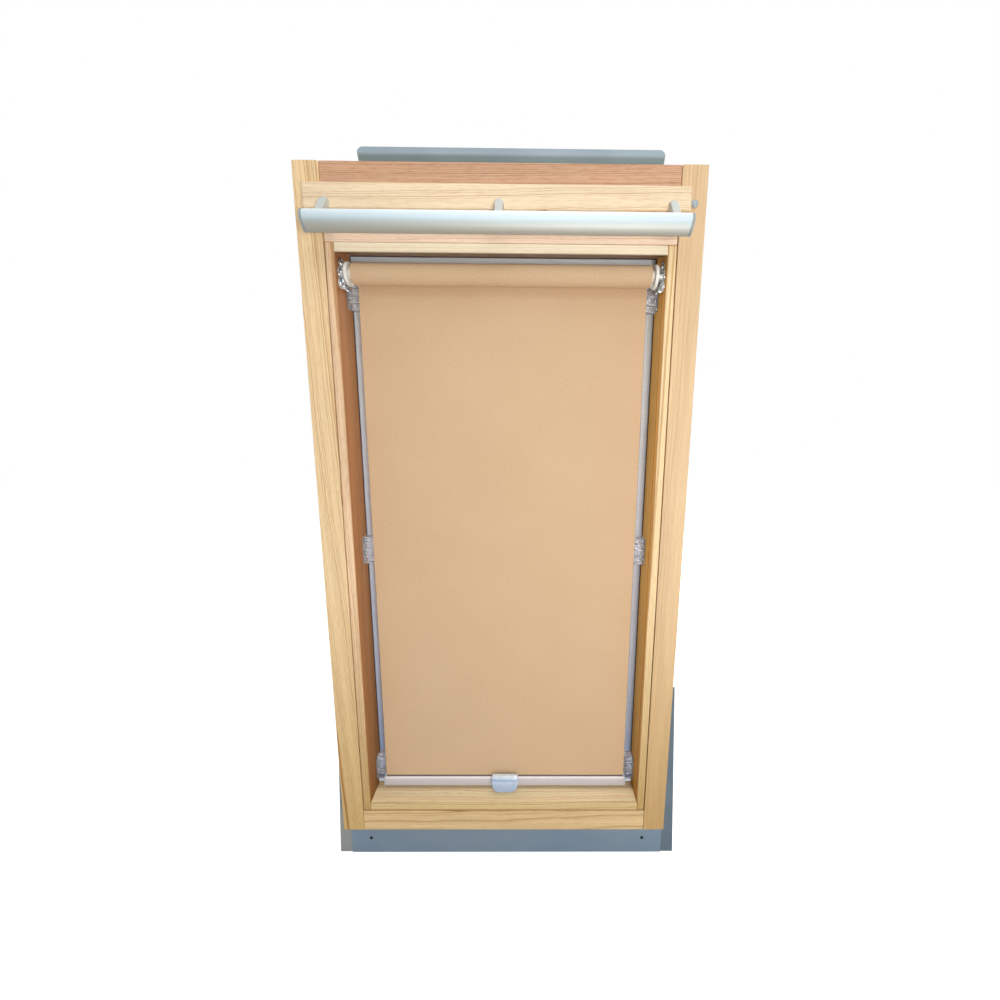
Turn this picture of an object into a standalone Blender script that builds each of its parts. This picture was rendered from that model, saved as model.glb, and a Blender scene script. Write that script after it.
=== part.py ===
"""Centre-pivot roof window in pine with a spring roller blind held in catch claws.

Metres. X runs to the right, Z up along the window, -Y into the room.
The origin is the middle of the frame's underside; Y = 0 is the plane of the sash pivots.
"""

import math

import bmesh
import bpy
from mathutils import Matrix, Vector

# Clearances
FIT = 0.0003
SASH_SIDE_GAP = 0.0013
SASH_END_GAP = 0.0030
PIN_CLEARANCE = 0.0004
COVER_END_GAP = 0.0010
CUT_OVERSHOOT = 0.0010

# Wooden frame
FRAME_WIDTH = 0.550
FRAME_HEIGHT = 1.030
FRAME_DEPTH = 0.084
JAMB_WIDTH = 0.0350
HEAD_HEIGHT = 0.064
HEAD_RECESS = 0.001
FOOT_HEIGHT = 0.037
WOOD_EDGE = 0.0012
COVER_REBATE = 0.0020
REBATE_DEPTH = 0.028
COVER_FLANGE_SET_BACK = 0.0015

# Wooden sash
STILE_WIDTH = 0.0115
SASH_WOOD_DEPTH = 0.057
TOP_RAIL_HEIGHT = 0.0317
RAIL_SLOPE_RISE = 0.0048
LINING_FRONT = 0.0118
LINING_BACK = 0.003
LINING_NOSE = 0.004
SILL_HEIGHT = 0.013

# Glass unit
PANE_THICKNESS = 0.004
PANE_SPACE = 0.014
SPACER_INSET = 0.0035
SPACER_SIDE = 0.016
SPACER_HEAD = 0.0313
SPACER_FOOT = 0.009

# Aluminium outside covers
SHEET = 0.0012
COVER_WALL = 0.0024
COVER_LIP = 0.019
COVER_HEAD_LIP = 0.038
HOOD_LEFT_FROM_JAMB = 0.02405
HOOD_RIGHT_FROM_JAMB = 0.00245
HOOD_RISE = 0.0587
HOOD_STEP = 0.006
HOOD_STEP_HEIGHT = 0.0172
HOOD_CORNER = 0.008
HOOD_STEP_SLOPE = 0.009
DUCT_DEPTH = 0.009
DUCT_HEIGHT = 0.022
DUCT_SLOPE = 0.004
APRON_WIDTH = 0.606
APRON_DROP = 0.145
APRON_RISE = 0.026
STRIP_PAST_APRON = 0.0245
STRIP_PAST_FRAME = 0.035
STRIP_HEAD_HEIGHT = 0.212
STRIP_LAP = 0.012
STRIP_BEND_Z = -0.030
STRIP_INSIDE_JAMB = 0.004

# Vent slot and filter
VENT_WIDTH = 0.400
VENT_HEIGHT = 0.014
VENT_ABOVE_HEAD_FOOT = 0.012
FILTER_SET_BACK = 0.002

# Pivot hinges
PIVOT_PLATE_HEIGHT = 0.080
PIVOT_PLATE_DEPTH = 0.028
FRAME_PLATE = 0.0024
SASH_PLATE = 0.0018
PIVOT_PIN_RADIUS = 0.006
PIVOT_PIN_REACH = 0.0066

# Latch
LATCH_WIDTH = 0.012
LATCH_DEPTH = 0.010
LATCH_LENGTH = 0.016
LATCH_TIP = 0.0015
LATCH_TRAVEL = 0.008
LATCH_CLEARANCE = 0.0005
LATCH_SPARE_TRAVEL = 0.002
LATCH_EDGE = 0.0008
STRIKE_WIDTH = 0.060
STRIKE_DEPTH = 0.018
STRIKE_PLATE = 0.0012

# Ventilation flap and its control bar
FLAP_OVER_LEFT_JAMB = 0.01825
FLAP_OVER_RIGHT_JAMB = 0.01025
FLAP_HEIGHT = 0.0315
FLAP_THICKNESS = 0.014
FLAP_ABOVE_SASH = 0.0035
FLAP_STANDOFF = 0.001
FLAP_EDGE = 0.003
FLAP_PIN_BELOW_BOARD = 0.0028
KNUCKLE_RADIUS = 0.0022
LEAF_WIDTH = 0.300
LEAF_HEIGHT = 0.014
LEAF_THICKNESS = 0.0010
BAR_FROM_FLAP_LEFT = 0.01275
BAR_FROM_FLAP_RIGHT = 0.00775
BAR_HEIGHT = 0.0280
BAR_BELOW_FLAP = 0.0130
BAR_STANDOFF = 0.0425
BAR_BULGE = 0.008
BAR_WALL = 0.0024
BAR_LIP_ANGLE = 0.03
BAR_SLANT = 0.17
BAR_CAP = 0.0028
BRACKET_WIDTH = 0.0135
BRACKET_FROM_BAR_END = 0.0175
BRACKET_BELOW_FLAP = 0.010
BRACKET_ON_FLAP = 0.0140
BRACKET_SHOULDER = 0.006
BRACKET_ROUND = 0.0015

# Roller of the blind
FABRIC_FROM_REVEAL = 0.01795
FABRIC_THICKNESS = 0.0005
ROLL_RADIUS = 0.015
ROLLER_BELOW_SEAM = 0.0348
ROLLER_DEPTH = 0.020
TUBE_RADIUS = 0.009
TUBE_WALL = 0.0011
DISC_RADIUS = 0.016
DISC_THICKNESS = 0.0045
DISC_EDGE = 0.001
NECK_RADIUS = 0.0084
NECK_LENGTH = 0.0035
HUB_LENGTH = 0.016
END_PLAY = 0.0005
AXLE_RADIUS = 0.0028
AXLE_PAST_SPRING = 0.008
SPRING_FROM_HUB = 0.004
SPRING_WIRE = 0.0009
SPRING_TURNS = 18
SPRING_STEPS = 10
SPRING_LENGTH = 0.120
BEARER_PLATE = 0.0015
BEARER_WIDTH = 0.026
BEARER_BELOW_AXIS = 0.0225
BEARER_HEIGHT = 0.0445
BEARER_CORNER = 0.004
BEARER_CUP_RADIUS = 0.0062
BEARER_CUP_FROM_DISC = 0.0020
BEARER_SEAT_FLOOR = 0.001
BEARER_LIP = 0.0075
SCREW_HOLE_RADIUS = 0.0021
SCREW_HOLE_INSET = 0.0085
LOW_HOLE_SPACING = 0.011

# Bottom rail of the blind
RAIL_DEPTH = 0.010
RAIL_HEIGHT = 0.0165
RAIL_ABOVE_SILL = 0.005
RAIL_ROUND = 0.0015
RAIL_SLOT = 0.0020
RAIL_SLOT_DEPTH = 0.006
HEM_FROM_SLOT_FLOOR = 0.001
RAIL_CAP = 0.0020
RAIL_PIN_RADIUS = 0.0025
RAIL_PIN_LENGTH = 0.0105
HANDLE_WIDTH = 0.046
HANDLE_DEPTH = 0.0155
HANDLE_ABOVE_RAIL = 0.0085
HANDLE_BELOW_RAIL = 0.001
HANDLE_CORNER = 0.015
HANDLE_TOP_THICKNESS = 0.005
HANDLE_NECK_THICKNESS = 0.0085
HANDLE_NECK_DROP = 0.006
HANDLE_BACK_CHAMFER = 0.006
HANDLE_LIP_HEIGHT = 0.005
HANDLE_LIP_DEPTH = 0.0035

# Catch claws
CLAW_HEIGHT = 0.046
CLAW_BASE = 0.0020
CLAW_BASE_DEPTH = 0.018
CLAW_BASE_MARGIN = 0.001
CLAW_WEB = 0.003
CLAW_REACH = 0.0145
CLAW_TEETH = 5
CLAW_TOOTH = 0.0022
CLAW_TOOTH_SLOPE = 0.0015
CLAW_LEAD_IN = 0.003
CLAW_CLEARANCE = 0.0008
CLAW_FROM_GLASS = 0.004
CLAW_ABOVE_RAIL = 0.020
CLAW_BELOW_PIVOT = 0.015
CLAW_BELOW_ROLLER = 0.0205

# Cover cap on the right jamb
CAP_RADIUS = 0.0048
CAP_HEIGHT = 0.0050
CAP_ROUND = 0.0018
CAP_ABOVE_FLAP_FOOT = 0.0155
CAP_FROM_FLAP = 0.0077

# Places worked out from the sizes
HALF_WIDTH = FRAME_WIDTH / 2
ROOM_Y = -FRAME_DEPTH / 2
OUT_Y = FRAME_DEPTH / 2
JAMB_X = HALF_WIDTH - JAMB_WIDTH
HEAD_Z = FRAME_HEIGHT - HEAD_HEIGHT
SASH_X = JAMB_X - SASH_SIDE_GAP
SASH_FOOT_Z = FOOT_HEIGHT + SASH_END_GAP
SASH_HEAD_Z = HEAD_Z - SASH_END_GAP
PIVOT_Z = (SASH_FOOT_Z + SASH_HEAD_Z) / 2
REVEAL_X = SASH_X - STILE_WIDTH
WOOD_BACK_Y = ROOM_Y + SASH_WOOD_DEPTH
RAIL_SEAM_Z = SASH_HEAD_Z - TOP_RAIL_HEIGHT
SILL_Z = SASH_FOOT_Z + SILL_HEIGHT
INNER_PANE_Y = WOOD_BACK_Y + FIT
SPACE_Y = INNER_PANE_Y + PANE_THICKNESS + FIT
OUTER_PANE_Y = SPACE_Y + PANE_SPACE + FIT
GLASS_OUT_Y = OUTER_PANE_Y + PANE_THICKNESS
GLASS_X = SASH_X - COVER_WALL - FIT
GLASS_FOOT_Z = SASH_FOOT_Z + COVER_WALL + FIT
GLASS_HEAD_Z = SASH_HEAD_Z - COVER_WALL - FIT
COVER_Y = GLASS_OUT_Y + FIT
PANEL_Y = OUT_Y + FIT
FLAP_FOOT_Z = SASH_HEAD_Z + FLAP_ABOVE_SASH
FLAP_LEFT_X = -JAMB_X - FLAP_OVER_LEFT_JAMB
FLAP_RIGHT_X = JAMB_X + FLAP_OVER_RIGHT_JAMB
FLAP_CENTRE = (FLAP_LEFT_X + FLAP_RIGHT_X) / 2
FLAP_Y = ROOM_Y - FLAP_STANDOFF
FLAP_FRONT_Y = FLAP_Y - FLAP_THICKNESS
FLAP_PIN = Vector((FLAP_CENTRE, ROOM_Y - KNUCKLE_RADIUS - FIT, FLAP_FOOT_Z - FLAP_PIN_BELOW_BOARD))
BAR_TOP_Z = FLAP_FOOT_Z - BAR_BELOW_FLAP
BAR_Y = ROOM_Y - BAR_STANDOFF
BAR_LEFT_X = FLAP_LEFT_X + BAR_FROM_FLAP_LEFT
BAR_RIGHT_X = FLAP_RIGHT_X - BAR_FROM_FLAP_RIGHT
BAR_MIDDLE = (BAR_LEFT_X + BAR_RIGHT_X) / 2
BAR_X = (BAR_RIGHT_X - BAR_LEFT_X) / 2
BAR_RADIUS = ((BAR_HEIGHT / 2) ** 2 + BAR_BULGE ** 2) / (2 * BAR_BULGE)
BAR_CENTRE_Y = BAR_Y - BAR_BULGE + BAR_RADIUS
BAR_CENTRE_Z = BAR_TOP_Z - BAR_HEIGHT / 2
BAR_ANGLE = math.asin(BAR_HEIGHT / 2 / BAR_RADIUS)
ROLLER = Vector((0, ROOM_Y + ROLLER_DEPTH, RAIL_SEAM_Z - ROLLER_BELOW_SEAM))
FABRIC_X = REVEAL_X - FABRIC_FROM_REVEAL
FABRIC_Y = ROLLER.y + ROLL_RADIUS + FIT + FABRIC_THICKNESS / 2
TUBE_X = FABRIC_X + END_PLAY
NECK_X = TUBE_X + FIT
DISC_X = NECK_X + NECK_LENGTH
DISC_OUT_X = DISC_X + DISC_THICKNESS
HUB_RADIUS = TUBE_RADIUS - TUBE_WALL - FIT
HUB_END_X = NECK_X - HUB_LENGTH
SPRING_RADIUS = (AXLE_RADIUS + FIT + SPRING_WIRE / 2) / math.cos(math.pi / SPRING_STEPS)
SPRING_X = HUB_END_X - SPRING_FROM_HUB - SPRING_LENGTH / 2
RAIL_X = FABRIC_X + END_PLAY
RAIL_FOOT_Z = SILL_Z + RAIL_ABOVE_SILL
RAIL_HEAD_Z = RAIL_FOOT_Z + RAIL_HEIGHT
RAIL_Z = RAIL_FOOT_Z + RAIL_HEIGHT / 2
RAIL_CAP_X = RAIL_X + FIT
FABRIC_FOOT_Z = RAIL_HEAD_Z - RAIL_SLOT_DEPTH + HEM_FROM_SLOT_FLOOR
BEARER_X = REVEAL_X - FIT
BEARER_LOW_Z = ROLLER.z - BEARER_BELOW_AXIS
AXLE_END_X = BEARER_X - BEARER_SEAT_FLOOR - END_PLAY
CLAW_LEVELS = (
    ("low", RAIL_Z + CLAW_ABOVE_RAIL),
    ("middle", PIVOT_Z - CLAW_BELOW_PIVOT),
    ("top", ROLLER.z - CLAW_BELOW_ROLLER),
)
CLAW_FRONT_Y = FABRIC_Y + RAIL_PIN_RADIUS + CLAW_CLEARANCE
CLAW_BACK_Y = WOOD_BACK_Y - CLAW_FROM_GLASS

SIDES = (("left", -1), ("right", 1))


def collection(name):
    group = bpy.data.collections.new(name)
    bpy.context.scene.collection.children.link(group)
    return group


def clear_scene():
    for item in list(bpy.data.objects):
        bpy.data.objects.remove(item, do_unlink=True)


def finish(name, colour, roughness, metallic=0.0, alpha=1.0):
    """A Principled material with the piece's colour."""
    material = bpy.data.materials.new(name)
    material.use_nodes = True
    shader = material.node_tree.nodes["Principled BSDF"]
    shader.inputs["Base Color"].default_value = (*colour, 1.0)
    shader.inputs["Roughness"].default_value = roughness
    shader.inputs["Metallic"].default_value = metallic
    shader.inputs["Alpha"].default_value = alpha
    material.diffuse_color = (*colour, alpha)
    return material


clear_scene()
PARTS = collection("skylight_window_blind")
CUTTERS = collection("cutters")

PINE = finish("pine", (0.80, 0.58, 0.33), 0.45)
PINE_DARK = finish("pine_reveal", (0.45, 0.24, 0.10), 0.5)
GREY_COVER = finish("grey_cover", (0.20, 0.26, 0.30), 0.45, 0.3)
GLASS = finish("glass", (0.70, 0.80, 0.84), 0.02, 0.0, 0.3)
ALUMINIUM = finish("anodised_aluminium", (0.75, 0.78, 0.79), 0.3, 1.0)
STEEL = finish("plated_steel", (0.62, 0.63, 0.64), 0.25, 1.0)
CAST_GREY = finish("cast_grey", (0.62, 0.64, 0.63), 0.45, 0.6)
WHITE_PLASTIC = finish("white_plastic", (0.86, 0.85, 0.82), 0.4)
GREY_PLASTIC = finish("grey_plastic", (0.40, 0.48, 0.56), 0.45)
CLEAR_PLASTIC = finish("clear_plastic", (0.85, 0.86, 0.88), 0.08, 0.0, 0.35)
FABRIC = finish("beige_fabric", (0.66, 0.47, 0.29), 0.9)
FOAM = finish("filter_foam", (0.12, 0.12, 0.12), 0.95)

# Turns an outline's flat plane to face along each axis
TURNS = {
    "X": Matrix(((0, 0, 1, 0), (1, 0, 0, 0), (0, 1, 0, 0), (0, 0, 0, 1))),
    "Y": Matrix(((1, 0, 0, 0), (0, 0, -1, 0), (0, 1, 0, 0), (0, 0, 0, 1))),
    "Z": Matrix.Identity(4),
}


def place(mesh, name, material, centre=None, group=None):
    """An object whose origin lies at its centre, or at the point given."""
    item = bpy.data.objects.new(name, mesh)
    (group or PARTS).objects.link(item)
    if centre is None:
        corners = [vertex.co for vertex in mesh.vertices]
        low = Vector(min(c[i] for c in corners) for i in range(3))
        high = Vector(max(c[i] for c in corners) for i in range(3))
        centre = (low + high) / 2
    mesh.transform(Matrix.Translation(-Vector(centre)))
    item.location = centre
    if material:
        mesh.materials.clear()
        mesh.materials.append(material)
    return item


def box(name, x, y, z, material, round_by=0.0, group=None):
    """A box between two values on each axis, with its edges rounded."""
    low = Vector((x[0], y[0], z[0]))
    high = Vector((x[1], y[1], z[1]))
    bpy.ops.mesh.primitive_cube_add(size=1)
    item = bpy.context.object
    item.name = name
    item.data.name = name
    for holder in list(item.users_collection):
        holder.objects.unlink(item)
    (group or PARTS).objects.link(item)
    item.data.transform(Matrix.Diagonal((*(high - low), 1)))
    item.location = (low + high) / 2
    if material:
        item.data.materials.append(material)
    if round_by:
        rounded(item, round_by)
    return item


def rounded(item, width, segments=2, angle=30):
    bevel = item.modifiers.new("rounded edges", "BEVEL")
    bevel.width = width
    bevel.segments = segments
    bevel.limit_method = "ANGLE"
    bevel.angle_limit = math.radians(angle)
    return item


def extruded(name, points, axis, span, material, centre=None, group=None):
    """A flat outline, filled on both sides and extruded between two values of its axis."""
    curve = bpy.data.curves.new(name, "CURVE")
    curve.dimensions = "2D"
    curve.fill_mode = "BOTH"
    curve.extrude = (span[1] - span[0]) / 2
    spline = curve.splines.new("POLY")
    spline.points.add(len(points) - 1)
    spline.use_cyclic_u = True
    for point, (u, v) in zip(spline.points, points):
        point.co = (u, v, 0, 1)
    guide = bpy.data.objects.new(name + "_outline", curve)
    bpy.context.scene.collection.objects.link(guide)
    bpy.context.view_layer.update()
    evaluated = guide.evaluated_get(bpy.context.evaluated_depsgraph_get())
    mesh = bpy.data.meshes.new_from_object(evaluated)
    bpy.data.objects.remove(guide, do_unlink=True)
    work = bmesh.new()
    work.from_mesh(mesh)
    bmesh.ops.remove_doubles(work, verts=work.verts, dist=0.000001)
    bmesh.ops.recalc_face_normals(work, faces=work.faces)
    work.to_mesh(mesh)
    work.free()
    mesh.name = name
    along = -1 if axis == "Y" else 1
    middle = along * (span[0] + span[1]) / 2
    mesh.transform(TURNS[axis] @ Matrix.Translation((0, 0, middle)))
    return place(mesh, name, material, centre, group)


def turned(name, profile, axis_point, direction, material, steps=32, group=None):
    """A profile of (radius, distance along the axis) turned about an axis along X or Y."""
    work = bmesh.new()
    points = [work.verts.new((radius, 0, along)) for radius, along in profile]
    for start, end in zip(points, points[1:]):
        work.edges.new((start, end))
    mesh = bpy.data.meshes.new(name)
    work.to_mesh(mesh)
    work.free()
    item = bpy.data.objects.new(name, mesh)
    (group or PARTS).objects.link(item)
    screw = item.modifiers.new("turned", "SCREW")
    screw.axis = "Z"
    screw.steps = steps
    screw.render_steps = steps
    screw.use_merge_vertices = True
    screw.merge_threshold = 0.00001
    screw.use_smooth_shade = False
    item.rotation_euler = Vector((0, 0, 1)).rotation_difference(Vector(direction)).to_euler()
    item.location = axis_point
    if material:
        mesh.materials.append(material)
    return item


def solid_disc(radius, low, high):
    """The profile of a plain cylinder, top to bottom on its outer side."""
    return [(0, high), (radius, high), (radius, low), (0, low)]


def ring(outer, inner, low, high):
    """The profile of a tube, closed on itself."""
    return [(outer, high), (outer, low), (inner, low), (inner, high), (outer, high)]


def combine(item, tool, operation):
    tool.hide_render = True
    tool.display_type = "WIRE"
    for holder in list(tool.users_collection):
        holder.objects.unlink(tool)
    CUTTERS.objects.link(tool)
    step = item.modifiers.new(operation.lower() + " " + tool.name, "BOOLEAN")
    step.operation = operation
    step.object = tool
    return item


def cut(item, tool):
    return combine(item, tool, "DIFFERENCE")


def join(item, tool):
    return combine(item, tool, "UNION")


def mirrored(points, sign):
    """An outline in X and something else, taken to the left or the right side."""
    turned_points = [(sign * u, v) for u, v in points]
    return turned_points if sign > 0 else turned_points[::-1]


def span(sign, near, far):
    """Two distances from the middle as low and high X on one side."""
    return tuple(sorted((sign * near, sign * far)))


def arc(centre, radius, start, end, steps):
    """Points on an arc, by angle in radians."""
    found = []
    for step in range(steps + 1):
        angle = start + (end - start) * step / steps
        found.append((centre[0] + radius * math.cos(angle), centre[1] + radius * math.sin(angle)))
    return found


def rounded_outline(low, high, radius, steps=4):
    """A rectangle with round corners, anticlockwise from its lower left."""
    (u0, v0), (u1, v1) = low, high
    quarter = math.pi / 2
    corners = ((u0 + radius, v0 + radius, 2), (u1 - radius, v0 + radius, 3),
               (u1 - radius, v1 - radius, 0), (u0 + radius, v1 - radius, 1))
    points = []
    for u, v, turn in corners:
        points += arc((u, v), radius, turn * quarter, (turn + 1) * quarter, steps)
    return points


def build_frame():
    """Two jambs, head and foot in pine, with the pivot plates let into the jambs."""
    skirt_y = OUT_Y - REBATE_DEPTH
    section = [
        (JAMB_X, ROOM_Y), (HALF_WIDTH, ROOM_Y), (HALF_WIDTH, skirt_y),
        (HALF_WIDTH - COVER_REBATE, skirt_y), (HALF_WIDTH - COVER_REBATE, OUT_Y), (JAMB_X, OUT_Y),
    ]
    half_depth = PIVOT_PLATE_DEPTH / 2
    half_height = PIVOT_PLATE_HEIGHT / 2
    for side, sign in SIDES:
        jamb = extruded("jamb_" + side, mirrored(section, sign), "Z", (0, FRAME_HEIGHT), PINE)
        rounded(jamb, WOOD_EDGE)
        pocket = box("jamb_pocket_" + side, span(sign, JAMB_X - CUT_OVERSHOOT, JAMB_X + FRAME_PLATE + FIT),
                     (-half_depth - FIT, half_depth + FIT),
                     (PIVOT_Z - half_height - FIT, PIVOT_Z + half_height + FIT), None)
        cut(jamb, pocket)
        plate = box("frame_pivot_" + side, span(sign, JAMB_X, JAMB_X + FRAME_PLATE),
                    (-half_depth, half_depth), (PIVOT_Z - half_height, PIVOT_Z + half_height), STEEL)
        pin = turned("pivot_pin_" + side, solid_disc(PIVOT_PIN_RADIUS, -FRAME_PLATE / 2, PIVOT_PIN_REACH),
                     (sign * JAMB_X, 0, PIVOT_Z), (-sign, 0, 0), None, 24)
        join(plate, pin)
    inner = JAMB_X - FIT
    foot = box("foot_rail", (-inner, inner), (ROOM_Y, OUT_Y), (0, FOOT_HEIGHT), PINE, WOOD_EDGE)
    head = box("head_rail", (-inner, inner), (ROOM_Y + HEAD_RECESS, OUT_Y), (HEAD_Z, FRAME_HEIGHT),
               PINE_DARK, WOOD_EDGE)
    vent_z = HEAD_Z + VENT_ABOVE_HEAD_FOOT
    cut(head, box("vent_slot", (-VENT_WIDTH / 2, VENT_WIDTH / 2),
                  (ROOM_Y - CUT_OVERSHOOT, OUT_Y + CUT_OVERSHOOT), (vent_z, vent_z + VENT_HEIGHT), None))
    cut(head, box("strike_pocket", (-STRIKE_WIDTH / 2 - FIT, STRIKE_WIDTH / 2 + FIT),
                  (-STRIKE_DEPTH / 2 - FIT, STRIKE_DEPTH / 2 + FIT),
                  (HEAD_Z - CUT_OVERSHOOT, HEAD_Z + STRIKE_PLATE + FIT), None))
    box("vent_filter", (-VENT_WIDTH / 2 + FIT, VENT_WIDTH / 2 - FIT),
        (ROOM_Y + HEAD_RECESS + FILTER_SET_BACK, OUT_Y - FILTER_SET_BACK),
        (vent_z + FIT, vent_z + VENT_HEIGHT - FIT), FOAM)
    strike = box("strike_plate", (-STRIKE_WIDTH / 2, STRIKE_WIDTH / 2), (-STRIKE_DEPTH / 2, STRIKE_DEPTH / 2),
                 (HEAD_Z, HEAD_Z + STRIKE_PLATE), STEEL)
    mouth_x = LATCH_WIDTH / 2 + 2 * LATCH_CLEARANCE
    mouth_y = LATCH_DEPTH / 2 + 2 * LATCH_CLEARANCE
    cut(strike, box("strike_mouth", (-mouth_x, mouth_x), (-mouth_y, mouth_y),
                    (HEAD_Z - CUT_OVERSHOOT, HEAD_Z + STRIKE_PLATE + CUT_OVERSHOOT), None))
    cap_x = FLAP_RIGHT_X + CAP_FROM_FLAP
    round_top = arc((CAP_RADIUS - CAP_ROUND, CAP_HEIGHT - CAP_ROUND), CAP_ROUND, math.pi / 2, 0, 3)
    turned("jamb_cap", [(0, CAP_HEIGHT)] + round_top + [(CAP_RADIUS, FIT), (0, FIT)],
           (cap_x, ROOM_Y, FLAP_FOOT_Z + CAP_ABOVE_FLAP_FOOT), (0, -1, 0), GREY_PLASTIC, 24)


def build_outside_covers():
    """The grey aluminium cladding on the weather side, from the hood down to the apron."""
    flange_x = JAMB_X + COVER_FLANGE_SET_BACK
    skirt_out = HALF_WIDTH - FIT / 3
    skirt_in = HALF_WIDTH - COVER_REBATE + FIT
    cover_out_y = PANEL_Y + SHEET
    section = [
        (flange_x, PANEL_Y), (skirt_in, PANEL_Y), (skirt_in, OUT_Y - REBATE_DEPTH + FIT),
        (skirt_out, OUT_Y - REBATE_DEPTH + FIT), (skirt_out, cover_out_y), (flange_x, cover_out_y),
    ]
    for side, sign in SIDES:
        extruded("side_cover_" + side, mirrored(section, sign), "Z",
                 (COVER_END_GAP, FRAME_HEIGHT - COVER_END_GAP), GREY_COVER)
    panel_x = flange_x - 2 * FIT
    box("foot_cover", (-panel_x, panel_x), (PANEL_Y, cover_out_y),
        (2 * COVER_END_GAP, FOOT_HEIGHT - 2 * COVER_END_GAP), GREY_COVER)

    vent_z = HEAD_Z + VENT_ABOVE_HEAD_FOOT
    duct_low = vent_z + VENT_HEIGHT / 2 - DUCT_HEIGHT / 2
    duct_high = duct_low + DUCT_HEIGHT
    top = FRAME_HEIGHT + HOOD_RISE
    step_z = top - HOOD_STEP_HEIGHT
    line = [
        (PANEL_Y, HEAD_Z + COVER_END_GAP), (PANEL_Y, duct_low), (PANEL_Y + DUCT_DEPTH, duct_low + DUCT_SLOPE),
        (PANEL_Y + DUCT_DEPTH, duct_high - DUCT_SLOPE), (PANEL_Y, duct_high), (PANEL_Y, step_z),
        (PANEL_Y - HOOD_STEP, step_z + HOOD_STEP_SLOPE), (PANEL_Y - HOOD_STEP, top),
    ]
    back = [(y + SHEET, z) for y, z in line]
    back[2] = (back[2][0], back[2][1] - SHEET / 2)
    back[3] = (back[3][0], back[3][1] + SHEET / 2)
    hood = extruded("top_hood", line + back[::-1], "X", (-panel_x, panel_x), GREY_COVER)
    left, right = HOOD_LEFT_FROM_JAMB - JAMB_X, JAMB_X - HOOD_RIGHT_FROM_JAMB
    wide_x = panel_x + CUT_OVERSHOOT
    shoulder_z = FRAME_HEIGHT - COVER_END_GAP
    shoulder = [(-wide_x, HEAD_Z), (wide_x, HEAD_Z), (wide_x, shoulder_z), (right, shoulder_z)]
    shoulder += arc((right - HOOD_CORNER, top - HOOD_CORNER), HOOD_CORNER, 0, math.pi / 2, 5)
    shoulder += arc((left + HOOD_CORNER, top - HOOD_CORNER), HOOD_CORNER, math.pi / 2, math.pi, 5)
    shoulder += [(left, shoulder_z), (-wide_x, shoulder_z)]
    shape = extruded("hood_shape", shoulder, "Y", (ROOM_Y, cover_out_y + DUCT_DEPTH + CUT_OVERSHOOT), None)
    combine(hood, shape, "INTERSECT")

    apron_y = cover_out_y + FIT
    strip_y = apron_y + SHEET + FIT
    strip_in_x = JAMB_X + STRIP_INSIDE_JAMB
    half = APRON_WIDTH / 2
    box("apron", (-half, half), (apron_y, apron_y + SHEET), (-APRON_DROP, APRON_RISE), GREY_COVER)
    strip = [
        (half - STRIP_LAP, -APRON_DROP), (half + STRIP_PAST_APRON, -APRON_DROP),
        (HALF_WIDTH + STRIP_PAST_FRAME, STRIP_HEAD_HEIGHT),
        (strip_in_x, STRIP_HEAD_HEIGHT), (strip_in_x, 0.0), (half - STRIP_LAP, STRIP_BEND_Z),
    ]
    for side, sign in SIDES:
        extruded("apron_strip_" + side, mirrored(strip, sign), "Y", (strip_y, strip_y + SHEET), GREY_COVER)


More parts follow.
